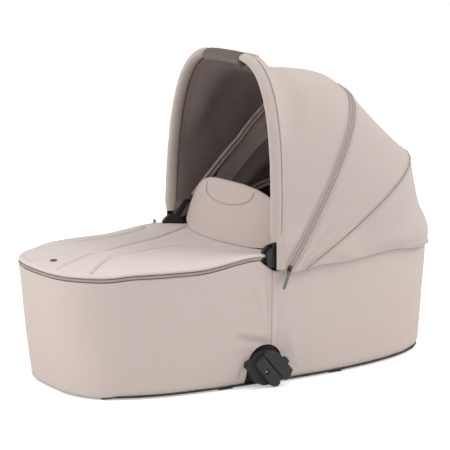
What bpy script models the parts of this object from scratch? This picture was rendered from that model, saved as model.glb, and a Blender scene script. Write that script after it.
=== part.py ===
"""A carrycot with a folding three-bow hood, a zipped apron and pushchair adaptors.

+X runs to the head end, -Y is the side with the hood zip's pull tab in view, and +Z is up.
The feet stand on z = 0. Everything is in metres and follows the named sizes below.
"""
import math
from dataclasses import dataclass

import bmesh
import bpy
from mathutils import Vector
from mathutils.geometry import delaunay_2d_cdt

GAP = 0.0003          # between touching pieces
OVERRUN = 0.004       # how far a cut runs past what it cuts

# The tub's outline, at its rim and at its bottom edge
RIM_FOOT_X = -0.4234
RIM_HEAD_X = 0.416
RIM_HALF_WIDTH = 0.2006
BASE_FOOT_X = -0.3983
BASE_HEAD_X = 0.4124
BASE_HALF_WIDTH = 0.1891
OUTLINE_MIDDLE_X = -0.0674
RIM_FOOT_POWER = 3.01
RIM_HEAD_POWER = 2.51
BASE_FOOT_POWER = 3.27
BASE_HEAD_POWER = 2.21

# The rim's height: two steps up from the foot to the hubs, and a fall at the head
RIM_FOOT_Z = 0.2181
FOOT_STEP = 0.0050
FOOT_STEP_X = -0.360
FOOT_STEP_RUN = 0.060
HUB_STEP = 0.0150
HUB_STEP_X = -0.195
HUB_STEP_RUN = 0.130
CREST_FALL = 0.0015
CREST_X = -0.070
CREST_RUN = 0.040
HEAD_FALL = 0.0245
HEAD_FALL_X = 0.240
HEAD_FALL_RUN = 0.200

# Cover and liner
COVER_BOTTOM_Z = 0.006
COVER_THICKNESS = 0.0025
COVER_HEM_INSET = 0.003
COVER_HEM_RISE = 0.010
COVER_BELLY = 0.0015
COVER_TOP_DROP = 0.0003
SIDE_SEAM_X = -0.033
LINER_INSET = 0.0178
LINER_THICKNESS = 0.0015
LINER_TOP_DROP = 0.004
LINER_BASE_INSET = 0.0120

# Base pan and feet
PAN_BOTTOM_Z = 0.003
PAN_LIP_INSET = 0.0010
PAN_LIP_WIDTH = 0.0070
PAN_WALL = 0.0025
PAN_WALL_TOP_Z = 0.030
PAN_FLOOR_UNDER_Z = 0.0060
PAN_FLOOR_TOP_Z = 0.0090
VENT_LENGTH = 0.090
VENT_WIDTH = 0.010
VENT_PITCH_X = 0.150
VENT_PITCH_Y = 0.075
VENT_COLUMNS = 4
VENT_ROWS = 3
PAN_RIB_LENGTH = 0.560
PAN_RIB_WIDTH = 0.006
PAN_RIB_DEPTH = 0.0025
FOOT_X = 0.124
FOOT_LENGTH = 0.03
FOOT_WIDTH = 0.02
FOOT_INSET = 0.0020
FOOT_BEVEL = 0.0012

# Rim tube, end stays and side uprights
RIM_TUBE_RADIUS = 0.0055
RIM_TUBE_INSET = 0.0118
RIM_TUBE_DROP = 0.0115
STAY_RADIUS = 0.0025
STAY_SPREAD_DEG = 34.0
STAY_CORNER = 0.030
UPRIGHT_INSET = 0.0040
UPRIGHT_THICKNESS = 0.0045
UPRIGHT_TOP_HALF = 0.022
UPRIGHT_WAIST_HALF = 0.015
UPRIGHT_FOOT_HALF = 0.042
UPRIGHT_WAIST_Z = 0.125
UPRIGHT_FLARE_Z = 0.082
UPRIGHT_SLOT_HALF = 0.005
UPRIGHT_SLOT_LOW_Z = 0.105
UPRIGHT_SLOT_HIGH_Z = 0.185

# Mattress
MATTRESS_INSET = 0.0225
MATTRESS_HEIGHT = 0.034
MATTRESS_CROWN = 0.006
MATTRESS_EDGE = 0.007
MATTRESS_SEAM_INSET = 0.003

# Apron, its zip and its press stud
APRON_BORDER = 0.0135
APRON_CROWN_FOOT_Z = 0.2350
APRON_CROWN_STEP = 0.0105
APRON_CROWN_X = -0.420
APRON_CROWN_RUN = 0.160
APRON_CROWN_REACH = 0.075
APRON_PADDING = 0.0085
APRON_UNDERSIDE = 0.0065
APRON_SIDE_BULGE = 0.0010
APRON_EDGE_ROUND = 0.007
APRON_REAR_MARGIN = 0.010
APRON_CORNER_X = -0.057
APRON_SHOULDER_Y = 0.182
CHANNEL_DEPTH = 0.0035
CHANNEL_HALF = 0.0065
QUILT_SPACING = 0.034
TAPE_WIDTH = 0.0048
TAPE_THICKNESS = 0.0015
TAPE_INSET = 0.0006
STUD_X = -0.383
STUD_Y = 0.0
STUD_RADIUS = 0.0068
STUD_HEIGHT = 0.0026
APRON_SLIDER_X = -0.064
APRON_SLIDER_RISE = 0.0065

# The quilting's sewn lines, in plan, as shares of the rim's foot end and half width
QUILT_LINE_SHARES = (
    ((-0.970, 0.190), (-0.907, 0.209), (-0.756, 0.105), (-0.654, 0.005), (-0.489, 0.170),
     (-0.312, 0.344), (-0.158, 0.573), (-0.047, 0.748)),
    ((-0.846, 0.608), (-0.654, 0.553), (-0.463, 0.628), (-0.309, 0.790), (-0.220, 0.900)),
    ((-0.950, -0.290), (-0.867, -0.174), (-0.751, -0.040), (-0.654, 0.005)),
    ((-0.880, -0.640), (-0.791, -0.459), (-0.685, -0.279), (-0.590, -0.239), (-0.437, -0.140),
     (-0.300, -0.125), (-0.187, -0.199), (-0.110, -0.290)),
    ((-0.342, 0.229), (-0.222, 0.169), (-0.125, 0.110)),
)

# Wind flap
FLAP_MIDDLE_X = -0.044
FLAP_SWEEP = 0.0236
FLAP_HALF_WIDTH = 0.1925
FLAP_SWEEP_POWER = 2.2
FLAP_SWEEP_HALF = 0.1413
FLAP_HEIGHT = 0.1110
FLAP_TOP_POWER = 2.4
FLAP_TIP_SHARE = 0.97
FLAP_WING_RISE = 0.0160
FLAP_WING_Y = 0.125
FLAP_LEAN_DEG = 18.0
FLAP_THICKNESS = 0.0060
FLAP_SEAT = 0.0012

# The hood's fan of bows: where its seams meet, and the bows' common outline
FAN_X = -0.0317
FAN_Z = 0.1721
HOOD_HALF_WIDTH = 0.211
HOOD_POWER = 3.42
HEM_TUCK = 0.003
TUCK_RISE = 0.055
BEND_REACH = 0.280
PANEL_THICKNESS = 0.0012
PANEL_SAG_SHARE = 0.022
SAG_FREE_SPAN = 0.085
LINING_THICKNESS = 0.0010
SEAM_HALF = 0.0007
FRONT_CLOTH_INSET = 0.0014
FRONT_CLOTH_SHARE = 0.75
FRONT_LINING_SHARE = 0.95
LINING_INSET = 0.0126
LINING_LOW_Z = 0.292
HOOD_TAPE_WIDTH = 0.0110
HEM_OUTSET = 0.0085
HEM_DROP = 0.0090
HEM_DIP = 0.0085
HEM_DIP_X = 0.100
HEM_DIP_RUN = 0.170
HEM_START_X = 0.062
MESH_START_X = 0.176
MESH_RIM_INSET = 0.0030
MESH_RIM_RISE = 0.0060

# Hubs: the pins that the bows turn on, and the arms stacked along them
HUB_X = -0.029
HUB_Z = 0.242
HUB_RADIUS = 0.024
HUB_INNER_Y = 0.187
HUB_OUTER_Y = 0.1945
HUB_FOOT_HALF = 0.0225
ARM_THICKNESS = 0.003
ARM_PITCH = 0.0033
ARM_DISC_RADIUS = 0.0195
ARM_HALF_WIDTH = 0.0066
ARM_FLAT_REACH = 0.024
ARM_RISE_REACH = 0.054
ARM_REACH = 0.078
SOCKET_DEPTH = 0.016
SOCKET_WALL = 0.0015
PIN_RADIUS = 0.0032
PIN_CLEARANCE = 0.0004
PIN_HEAD_RADIUS = 0.0075
PIN_HEAD_THICKNESS = 0.0012
PIN_INNER_Y = 0.1855

# Sleeves and the carry grip
SLEEVE_START_REACH = 0.090
FRONT_SLEEVE_HALF = 0.0120
SLEEVE_FOOT_REACH = 0.0286
SLEEVE_TAPER_RUN = 0.020
SLEEVE_CLOTH = 0.0013
SLEEVE_FLARE_SHARE = 1.22
GRIP_HALF_LENGTH = 0.07
GRIP_RADIUS = 0.0134
GRIP_DROP = 0.007
FINGER_GAP = 0.026
FINGER_HALF = 0.066
FINGER_FADE = 0.026
FACING_THICKNESS = 0.0020

# Zip sliders and pull tabs
ZIP_SLIDER_RISE = 0.0085
SLIDER_HEIGHT = 0.0025
TAB_CLEARANCE = 0.0014
TAB_THICKNESS = 0.0016
TAB_BAR = 0.0017
TAB_WINDOW = 0.0068
TAB_EDGE_SHARES = ((1.0, 0.28), (0.72, 0.38), (1.0, 0.52), (1.0, 0.94), (0.55, 1.0))
LOOP_WIRE = 0.0015
LOOP_HALF_LENGTH = 0.0042

# Adaptors, in their own turned frame: u down the slabs, v across them, w outwards
ADAPTOR_X = -0.0385
ADAPTOR_Z = 0.0353
ADAPTOR_TURN_DEG = -49.9
DRUM_OFFSET = -0.0080
DRUM_RADIUS = 0.033
DRUM_CORNER = 0.04
DRUM_DEPTH = 0.0177
SLAB_DEPTH = 0.0135
SLAB_START = -0.036
SLAB_END = 0.0295
SLAB_LOW = -0.0235
SLAB_GROOVE_LOW = -0.0008
SLAB_GROOVE_HIGH = 0.001
SLAB_HIGH = 0.0262
SLAB_CHAMFER = 0.0060
SLAB_NOTCH = 0.0045
SLAB_NOSE = 0.0348
NOSE_RADIUS = 0.0255
LATCH_CENTRE = 0.0068
LATCH_LENGTH = 0.0140
LATCH_STAND = 0.0062
LATCH_DEPTH = 0.0110
LATCH_FLOOR = 0.0030
LATCH_WIDTH = 0.0070
LATCH_CLEARANCE = 0.0005
LATCH_TRAVEL = 0.0045
SCREW_U = -0.0092
SCREW_V = -0.0155
SCREW_RADIUS = 0.0038
SCREW_SHANK_RADIUS = 0.0022
SCREW_RECESS_RADIUS = 0.0052
SCREW_RECESS_DEPTH = 0.0030
SCREW_HEAD_HEIGHT = 0.0020
SCREW_BITE = 0.0063
# The drum stands against the widest part of the uprights behind it
DRUM_TOP_SHARE = (ADAPTOR_Z + DRUM_RADIUS - COVER_BOTTOM_Z) / (HUB_Z - COVER_BOTTOM_Z)
DRUM_TOP_Y = BASE_HALF_WIDTH + (RIM_HALF_WIDTH - BASE_HALF_WIDTH) * DRUM_TOP_SHARE
DRUM_INNER_Y = max(DRUM_TOP_Y, BASE_HALF_WIDTH) - UPRIGHT_INSET + GAP * 2
DRUM_OUTER_Y = DRUM_INNER_Y + DRUM_DEPTH
SLAB_OUTER_Y = DRUM_OUTER_Y + SLAB_DEPTH
LATCH_LOW_Y = DRUM_OUTER_Y + LATCH_FLOOR
LATCH_HIGH_Y = LATCH_LOW_Y + LATCH_WIDTH
SCREW_END_Y = DRUM_INNER_Y - SCREW_BITE
# The narrowest and widest of the tub's half widths, for cuts through its sides
SIDE_LOW_Y = min(BASE_HALF_WIDTH, RIM_HALF_WIDTH)
SIDE_HIGH_Y = max(BASE_HALF_WIDTH, RIM_HALF_WIDTH)

# How finely curved things are divided
WALL_STEPS = 56
APRON_STEPS = 45
HOOD_STEPS = 32
LEG_STEPS = 15
TOP_STEPS = 7
ROUND_SIDES = 16

SIDES = {"near": -1, "far": 1}


@dataclass(frozen=True)
class Bow:
    """One bow of the hood: where its ridge of cloth runs and how its tube sits under it."""
    name: str
    reach: float
    rise_deg: float
    tube_radius: float
    tube_inset: float
    hem_z: float
    layer: int
    tube_sides: int


FRONT_BOW = Bow("front", 0.4401, 88.13, 0.0048, 0.0082, 0.2195, 2, 8)
MIDDLE_BOW = Bow("middle", 0.4258, 57.99, 0.0030, 0.0074, 0.2112, 1, 6)
REAR_BOW = Bow("rear", 0.4444, 31.97, 0.0030, 0.0074, 0.2132, 0, 6)
BOWS = (FRONT_BOW, MIDDLE_BOW, REAR_BOW)


# Scene, materials and objects

def clear_scene():
    """Empty the scene."""
    for thing in list(bpy.data.objects):
        bpy.data.objects.remove(thing)


def finish(name, colour, roughness, metallic=0.0):
    """A Principled material."""
    material = bpy.data.materials.new(name)
    material.use_nodes = True
    shader = material.node_tree.nodes["Principled BSDF"]
    shader.inputs["Base Color"].default_value = (*colour, 1.0)
    shader.inputs["Roughness"].default_value = roughness
    shader.inputs["Metallic"].default_value = metallic
    material.diffuse_color = (*colour, 1.0)
    return material


def pivot(name, place):
    """An empty on a joint's axis, which carries what turns there."""
    empty = bpy.data.objects.new(name, None)
    empty.location = place
    bpy.context.scene.collection.objects.link(empty)
    return empty


def add(name, bm, material=None, axis=None, smooth_deg=35.0):
    """Make an object of a mesh given in world places, carried by an axis if it moves."""
    if axis is not None:
        bmesh.ops.translate(bm, verts=bm.verts, vec=-axis.location)
    mesh = bpy.data.meshes.new(name)
    bm.to_mesh(mesh)
    bm.free()
    mesh.shade_smooth()
    mesh.set_sharp_from_angle(angle=math.radians(smooth_deg))
    thing = bpy.data.objects.new(name, mesh)
    bpy.context.scene.collection.objects.link(thing)
    thing.parent = axis
    if material is not None:
        mesh.materials.append(material)
    return thing


def shape(target, bm, operation, axis=None):
    """Cut a tool from an object, or join it on, with a live Boolean."""
    order = len(target.modifiers)
    tool = add(f"{target.name}_tool_{order}", bm, axis=axis)
    tool.hide_render = True
    tool.display_type = "WIRE"
    modifier = target.modifiers.new(f"shape_{order}", "BOOLEAN")
    modifier.operation = operation
    modifier.object = tool
    modifier.solver = "EXACT"


def thicken(target, thickness, offset=-1.0):
    """Give a sheet its thickness, inwards unless told otherwise."""
    modifier = target.modifiers.new("thickness", "SOLIDIFY")
    modifier.thickness = thickness
    modifier.offset = offset
    modifier.use_even_offset = True


# Mesh building

def mirrored(bm, side):
    """Turn a mesh made for the far side into the near one where asked."""
    if side < 0:
        bmesh.ops.scale(bm, vec=(1, -1, 1), verts=bm.verts)
        bmesh.ops.reverse_faces(bm, faces=bm.faces)
    return bm


def outwards(bm):
    """Point a closed mesh's faces out."""
    bmesh.ops.recalc_face_normals(bm, faces=bm.faces)
    return bm


def face_away(bm, centre):
    """Point an open sheet's faces away from a place inside it."""
    bm.normal_update()
    lean = sum((face.calc_center_median() - centre).dot(face.normal) for face in bm.faces)
    if lean < 0:
        bmesh.ops.reverse_faces(bm, faces=bm.faces)
    return bm


def skin(bm, rows, wrap=False):
    """Join rows of places by faces, and return the rows of vertices."""
    rows = [[bm.verts.new(place) for place in row] for row in rows]
    for low, high in zip(rows, rows[1:]):
        join(bm, low, high, wrap)
    return rows


def join(bm, low, high, wrap=False):
    """Faces between two rows of vertices."""
    count = len(low)
    for i in range(count if wrap else count - 1):
        j = (i + 1) % count
        bm.faces.new((low[i], low[j], high[j], high[i]))


def even(places, count):
    """Places at even spacing along a line of places."""
    lengths = [0.0]
    for a, b in zip(places, places[1:]):
        lengths.append(lengths[-1] + (b - a).length)
    result = []
    k = 0
    for i in range(count):
        wanted = lengths[-1] * i / (count - 1)
        while k < len(places) - 2 and lengths[k + 1] < wanted:
            k += 1
        span = lengths[k + 1] - lengths[k]
        share = (wanted - lengths[k]) / span if span else 0.0
        result.append(places[k].lerp(places[k + 1], min(share, 1.0)))
    return result


def oval(half_across, half_up, sides):
    """An oval section, as pairs across and up."""
    angles = [2 * math.pi * i / sides for i in range(sides)]
    return [(half_across * math.cos(angle), half_up * math.sin(angle)) for angle in angles]


def sections(path, across, outlines, closed=False):
    """Stand one outline at each place of a path, its first axis along a direction across the path."""
    rings = []
    count = len(path)
    for i, place in enumerate(path):
        ahead = path[(i + 1) % count] if closed or i < count - 1 else path[i]
        behind = path[i - 1] if closed or i > 0 else path[i]
        along = (ahead - behind).normalized()
        side = (across - along * across.dot(along)).normalized()
        up = along.cross(side)
        rings.append([place + side * a + up * b for a, b in outlines[i]])
    return rings


def rod(bm, path, across, outlines, closed=False):
    """A solid swept along a path."""
    rings = skin(bm, sections(path, across, outlines, closed), wrap=True)
    if closed:
        join(bm, rings[-1], rings[0], wrap=True)
    else:
        bm.faces.new(rings[0])
        bm.faces.new(rings[-1])
    return outwards(bm)


def sleeve(bm, path, across, outlines, bore, bore_start=0):
    """A swept solid with a bore that opens at its far end, and at its near end if it starts there."""
    outer = skin(bm, sections(path, across, outlines), wrap=True)
    bores = [bore] * len(path)
    inner = skin(bm, sections(path, across, bores)[bore_start:], wrap=True)
    join(bm, outer[-1], inner[-1], wrap=True)
    if bore_start:
        bm.faces.new(outer[0])
        bm.faces.new(inner[0])
    else:
        join(bm, outer[0], inner[0], wrap=True)
    return outwards(bm)


def prism(bm, outline, low, high, place):
    """A straight solid over a flat outline, set in space by a placing function."""
    rings = skin(bm, [[place(u, v, w) for u, v in outline] for w in (low, high)], wrap=True)
    bm.faces.new(rings[0])
    bm.faces.new(rings[1])
    return outwards(bm)


def block(bm, low, high, bevel=0.0):
    """A box between two corners, its edges rounded if asked."""
    size = Vector(high) - Vector(low)
    made = bmesh.ops.create_cube(bm, size=1.0)
    bmesh.ops.scale(bm, vec=size, verts=made["verts"])
    bmesh.ops.translate(bm, vec=(Vector(low) + Vector(high)) / 2, verts=made["verts"])
    if bevel:
        bmesh.ops.bevel(bm, geom=bm.edges[:], offset=bevel, segments=1, affect="EDGES", profile=0.5,
                        material=-1)
    return bm


def sideways(u, v, w):
    """Place a section drawn in x and z so that it runs along y."""
    return Vector((u, w, v))


def circle(centre_u, centre_v, radius, sides=ROUND_SIDES):
    """A round outline."""
    return [(centre_u + a, centre_v + b) for a, b in oval(radius, radius, sides)]


def smooth(share):
    """Ease from 0 to 1."""
    share = min(max(share, 0.0), 1.0)
    return share * share * (3 - 2 * share)


# The tub's outline

def outline_xy(angle, foot_x, head_x, half_width, foot_power, head_power):
    """A point of a lopsided superellipse: angle 0 is the head end, pi the foot end."""
    c = math.cos(angle)
    s = math.sin(angle)
    power = foot_power if c < 0 else head_power
    reach = OUTLINE_MIDDLE_X - foot_x if c < 0 else head_x - OUTLINE_MIDDLE_X
    size = (abs(c) ** power + abs(s) ** power) ** (-1 / power)
    return OUTLINE_MIDDLE_X + reach * c * size, half_width * s * size


def rim_xy(angle, inset=0.0):
    """The rim's outline, drawn in by an inset."""
    return outline_xy(angle, RIM_FOOT_X + inset, RIM_HEAD_X - inset, RIM_HALF_WIDTH - inset,
                      RIM_FOOT_POWER, RIM_HEAD_POWER)


def base_xy(angle, inset=0.0):
    """The bottom edge's outline, drawn in by an inset."""
    return outline_xy(angle, BASE_FOOT_X + inset, BASE_HEAD_X - inset, BASE_HALF_WIDTH - inset,
                      BASE_FOOT_POWER, BASE_HEAD_POWER)


def rim_z(x):
    """The rim line's height, which is the cover's top edge."""
    foot_step = FOOT_STEP * smooth((x - FOOT_STEP_X) / FOOT_STEP_RUN)
    hub_step = HUB_STEP * smooth((x - HUB_STEP_X) / HUB_STEP_RUN)
    crest_fall = CREST_FALL * smooth((x - CREST_X) / CREST_RUN)
    head_fall = HEAD_FALL * smooth((x - HEAD_FALL_X) / HEAD_FALL_RUN)
    return RIM_FOOT_Z + foot_step + hub_step - crest_fall - head_fall


def wall_place(angle, share, inset=0.0, drop=0.0):
    """A place on the tub's wall, from its bottom edge (share 0) to its rim (share 1)."""
    x0, y0 = base_xy(angle, inset)
    x1, y1 = rim_xy(angle, inset)
    top = rim_z(x1) - drop
    return Vector((x0 + (x1 - x0) * share, y0 + (y1 - y0) * share,
                   COVER_BOTTOM_Z + (top - COVER_BOTTOM_Z) * share))


def even_angles(count, first=0.0, last=2 * math.pi):
    """Outline angles at even spacing along the rim."""
    fine = 24 * count
    angles = [first + (last - first) * i / fine for i in range(fine + 1)]
    lengths = [0.0]
    for a, b in zip(angles, angles[1:]):
        lengths.append(lengths[-1] + math.dist(rim_xy(a), rim_xy(b)))
    result = []
    k = 0
    for i in range(count):
        wanted = lengths[-1] * i / (count if last - first == 2 * math.pi else count - 1)
        while k < fine - 1 and lengths[k + 1] < wanted:
            k += 1
        result.append(angles[k] + (angles[k + 1] - angles[k]) * (wanted - lengths[k])
                      / (lengths[k + 1] - lengths[k]))
    return result


def angle_at(x):
    """The far side's outline angle where the rim reaches x."""
    low, high = (0.0, math.pi)
    for _ in range(50):
        middle = (low + high) / 2
        if rim_xy(middle)[0] > x:
            low = middle
        else:
            high = middle
    return (low + high) / 2


# Base pan, feet, frame

def base_pan(material):
    """The moulded pan: a lip under the cover, a low wall, a ribbed floor and vents."""
    angles = even_angles(WALL_STEPS)
    lip_in = PAN_LIP_INSET + PAN_LIP_WIDTH
    wall_out = COVER_HEM_INSET + COVER_THICKNESS + GAP
    wall_in = wall_out + PAN_WALL
    profile = [(lip_in, PAN_FLOOR_UNDER_Z), (lip_in, PAN_BOTTOM_Z), (PAN_LIP_INSET, PAN_BOTTOM_Z),
               (PAN_LIP_INSET, COVER_BOTTOM_Z - GAP), (wall_out, COVER_BOTTOM_Z - GAP),
               (wall_out, PAN_WALL_TOP_Z), (wall_in, PAN_WALL_TOP_Z), (wall_in, PAN_FLOOR_TOP_Z)]
    bm = bmesh.new()
    rows = skin(bm, [[Vector((*base_xy(a, inset), z)) for a in angles] for inset, z in profile], wrap=True)
    bm.faces.new(rows[0])
    bm.faces.new(rows[-1])
    pan = add("base_pan", outwards(bm), material)
    ribs = bmesh.new()
    for row in (-1, 1):
        y = row * VENT_PITCH_Y / 2
        block(ribs, (-PAN_RIB_LENGTH / 2, y - PAN_RIB_WIDTH / 2, PAN_FLOOR_UNDER_Z - PAN_RIB_DEPTH),
              (PAN_RIB_LENGTH / 2, y + PAN_RIB_WIDTH / 2, PAN_FLOOR_UNDER_Z + PAN_RIB_DEPTH / 2))
    shape(pan, ribs, "UNION")
    vents = bmesh.new()
    for column in range(VENT_COLUMNS):
        for row in range(VENT_ROWS):
            x = (column - (VENT_COLUMNS - 1) / 2) * VENT_PITCH_X
            y = (row - (VENT_ROWS - 1) / 2) * VENT_PITCH_Y
            run = VENT_LENGTH / 2 - VENT_WIDTH / 2
            ends = [(x + side * run + a, y + b) for side in (1, -1)
                    for a, b in oval(VENT_WIDTH / 2, VENT_WIDTH / 2, 8) if a * side > -GAP]
            ends.sort(key=lambda p: math.atan2(p[1] - y, p[0] - x))
            prism(vents, ends, PAN_FLOOR_UNDER_Z - OVERRUN, PAN_FLOOR_TOP_Z + OVERRUN,
                  lambda u, v, w: Vector((u, v, w)))
    shape(pan, outwards(vents), "DIFFERENCE")


def foot(name, end, side, material):
    """A pad under the pan's lip."""
    x = end * FOOT_X
    y = base_xy(angle_at(x), PAN_LIP_INSET)[1] - FOOT_INSET
    bm = bmesh.new()
    half = FOOT_LENGTH / 2
    block(bm, (x - half, y - FOOT_WIDTH, 0.0), (x + half, y, PAN_BOTTOM_Z - GAP), FOOT_BEVEL)
    add(name, mirrored(bm, side), material)


def rim_tube_place(angle):
    """The centre of the rim tube."""
    x, y = rim_xy(angle, RIM_TUBE_INSET)
    return Vector((x, y, rim_z(x) - RIM_TUBE_DROP))


def rim_tube(material):
    """The closed tube that gives the rim its line."""
    bm = bmesh.new()
    path = [rim_tube_place(a) for a in even_angles(WALL_STEPS)]
    section = [oval(RIM_TUBE_RADIUS, RIM_TUBE_RADIUS, 8)] * len(path)
    rod(bm, path, Vector((0, 0, 1)), section, closed=True)
    add("rim_tube", bm, material)


def end_stay(name, middle_angle, material):
    """A bent rod between the pan's wall and the rim tube at one end of the tub."""
    spread = math.radians(STAY_SPREAD_DEG)
    under = RIM_TUBE_RADIUS + STAY_RADIUS + GAP
    foot = PAN_WALL_TOP_Z + GAP
    path = []
    for i in range(17):
        angle = middle_angle + spread * (i / 8 - 1)
        x, y = rim_xy(angle, RIM_TUBE_INSET)
        path.append(Vector((x, y, rim_z(x) - RIM_TUBE_DROP - under)))
    legs = []
    for corner, inner in ((path[0], path[1]), (path[-1], path[-2])):
        angle = middle_angle + spread * (-1 if corner is path[0] else 1)
        x, y = base_xy(angle, COVER_HEM_INSET + COVER_THICKNESS + GAP + PAN_WALL / 2)
        low = Vector((x, y, foot))
        high = corner.lerp(low, STAY_CORNER / (corner - low).length)
        legs.append((low, high))
    path[0] = path[0].lerp(path[1], 0.6)
    path[-1] = path[-1].lerp(path[-2], 0.6)
    path = [*legs[0], *path, legs[1][1], legs[1][0]]
    bm = bmesh.new()
    section = [oval(STAY_RADIUS, STAY_RADIUS, 6)] * len(path)
    outward = Vector((math.cos(middle_angle), math.sin(middle_angle), 0))
    rod(bm, path, outward, section)
    add(name, bm, material)


def upright(name, side, material):
    """The moulded upright between the pan's wall and the rim tube, with a lightening slot."""
    low_z = PAN_WALL_TOP_Z + GAP
    high_z = rim_z(HUB_X) - RIM_TUBE_DROP - RIM_TUBE_RADIUS - GAP
    under_tube = RIM_TUBE_INSET - UPRIGHT_THICKNESS / 2
    rows = [(low_z, ADAPTOR_X, UPRIGHT_FOOT_HALF, UPRIGHT_INSET),
            (UPRIGHT_FLARE_Z, ADAPTOR_X, UPRIGHT_FOOT_HALF, UPRIGHT_INSET),
            (UPRIGHT_WAIST_Z, HUB_X, UPRIGHT_WAIST_HALF, UPRIGHT_INSET),
            (high_z - UPRIGHT_TOP_HALF, HUB_X, UPRIGHT_WAIST_HALF, under_tube),
            (high_z, HUB_X, UPRIGHT_TOP_HALF, under_tube)]
    bm = bmesh.new()
    rings = []
    for z, x, half, inset in rows:
        share = (z - COVER_BOTTOM_Z) / (rim_z(HUB_X) - COVER_BOTTOM_Z)
        outer = BASE_HALF_WIDTH + (RIM_HALF_WIDTH - BASE_HALF_WIDTH) * share - inset
        inner = outer - UPRIGHT_THICKNESS
        rings.append([Vector((x + half, outer, z)), Vector((x + half, inner, z)),
                      Vector((x - half, inner, z)), Vector((x - half, outer, z))])
    skin(bm, rings, wrap=True)
    bm.verts.ensure_lookup_table()
    bm.faces.new(bm.verts[:4])
    bm.faces.new(bm.verts[-4:])
    plate = add(name, mirrored(outwards(bm), side), material)
    slot = bmesh.new()
    block(slot, (HUB_X - UPRIGHT_SLOT_HALF, SIDE_LOW_Y - RIM_TUBE_INSET - OVERRUN, UPRIGHT_SLOT_LOW_Z),
          (HUB_X + UPRIGHT_SLOT_HALF, SIDE_HIGH_Y + OVERRUN, UPRIGHT_SLOT_HIGH_Z))
    shape(plate, mirrored(slot, side), "DIFFERENCE")
    bore = bmesh.new()
    prism(bore, circle(SCREW_U, SCREW_V, SCREW_SHANK_RADIUS + GAP, 8), SCREW_END_Y - OVERRUN,
          DRUM_INNER_Y + OVERRUN, adaptor_place)
    shape(plate, mirrored(bore, side), "DIFFERENCE")


# Cover, liner, mattress

def cover_panel(name, head, material):
    """Half of the outer cover, cut at the side seams, round the hubs and round the adaptors."""
    angles = even_angles(WALL_STEPS)
    bm = bmesh.new()
    hem_share = COVER_HEM_RISE / HUB_Z
    rows = []
    for share, inset in ((0.0, COVER_HEM_INSET), (hem_share, 0.0), (0.5, -COVER_BELLY), (1.0, 0.0)):
        rows.append([wall_place(a, share, inset, COVER_TOP_DROP) for a in angles])
    skin(bm, rows, wrap=True)
    edge = SIDE_SEAM_X + (GAP / 2 if head else -GAP / 2)
    bmesh.ops.bisect_plane(bm, geom=bm.verts[:] + bm.edges[:] + bm.faces[:], plane_co=(edge, 0, 0),
                           plane_no=(1, 0, 0), clear_inner=head, clear_outer=not head)
    face_away(bm, Vector((SIDE_SEAM_X, 0, HUB_Z / 2)))
    panel = add(name, bm, material)
    thicken(panel, COVER_THICKNESS)
    notch = bmesh.new()
    low_y = HUB_INNER_Y - OVERRUN
    for side in SIDES.values():
        hole = circle(HUB_X, HUB_Z, HUB_RADIUS + OVERRUN)
        prism(notch, hole, side * low_y, side * (HUB_OUTER_Y + OVERRUN * 2), sideways)
    shape(panel, outwards(notch), "DIFFERENCE")
    hole = bmesh.new()
    for side in SIDES.values():
        ring = [adaptor_xz(u, v) for u, v in drum_outline(GAP * 3)]
        prism(hole, ring, side * (SIDE_LOW_Y - OVERRUN * 3), side * (SIDE_HIGH_Y + OVERRUN), sideways)
    shape(panel, outwards(hole), "DIFFERENCE")
    slit = bmesh.new()
    for side in SIDES.values():
        low = [(ADAPTOR_X - DRUM_RADIUS / 2, 0.0), (ADAPTOR_X + DRUM_RADIUS / 2, 0.0),
               (ADAPTOR_X + DRUM_RADIUS / 2, ADAPTOR_Z / 2), (ADAPTOR_X - DRUM_RADIUS / 2, ADAPTOR_Z / 2)]
        prism(slit, low, side * (SIDE_LOW_Y - OVERRUN * 3), side * (SIDE_HIGH_Y + OVERRUN), sideways)
    shape(panel, outwards(slit), "DIFFERENCE")


def liner(material):
    """The inner bag, closed at the bottom."""
    angles = even_angles(WALL_STEPS)
    bm = bmesh.new()
    rows = []
    for share in (1.0, 0.55, 0.12):
        rows.append([wall_place(a, share, LINER_INSET, LINER_TOP_DROP) for a in angles])
    floor_z = PAN_FLOOR_TOP_Z + GAP
    rows.append([Vector((*base_xy(a, LINER_BASE_INSET + MATTRESS_EDGE), floor_z)) for a in angles])
    rows = skin(bm, rows, wrap=True)
    bm.faces.new(rows[-1])
    face_away(bm, Vector((0, 0, HUB_Z / 2)))
    thicken(add("liner", bm, material), LINER_THICKNESS)


def mattress(material):
    """The pad on the liner's floor: a crowned top, drawn-in sides and a seam round the middle."""
    angles = even_angles(WALL_STEPS)
    low = PAN_FLOOR_TOP_Z + GAP * 2 + LINER_THICKNESS
    top = low + MATTRESS_HEIGHT
    middle = (low + top) / 2
    edge = MATTRESS_EDGE
    profile = [(edge * 2, low), (edge / 2, low + edge / 2), (0.0, low + edge), (MATTRESS_SEAM_INSET, middle),
               (0.0, top - edge), (edge / 2, top - edge / 3), (edge * 2, top),
               (edge * 7, top + MATTRESS_CROWN * 0.75), (edge * 15, top + MATTRESS_CROWN)]
    rows = []
    for inset, z in profile:
        rows.append([Vector((*base_xy(a, MATTRESS_INSET + inset), z)) for a in angles])
    bm = bmesh.new()
    rings = skin(bm, rows, wrap=True)
    bm.faces.new(rings[0])
    bm.faces.new(rings[-1])
    add("mattress", outwards(bm), material)


# Apron

def flap_x(y):
    """The wind flap's base line, which sweeps back towards the sides."""
    return FLAP_MIDDLE_X + FLAP_SWEEP * (abs(y) / FLAP_SWEEP_HALF) ** FLAP_SWEEP_POWER


def crown_z(x):
    """The apron's height along its middle."""
    return APRON_CROWN_FOOT_Z + APRON_CROWN_STEP * smooth((x - APRON_CROWN_X) / APRON_CROWN_RUN)


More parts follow.
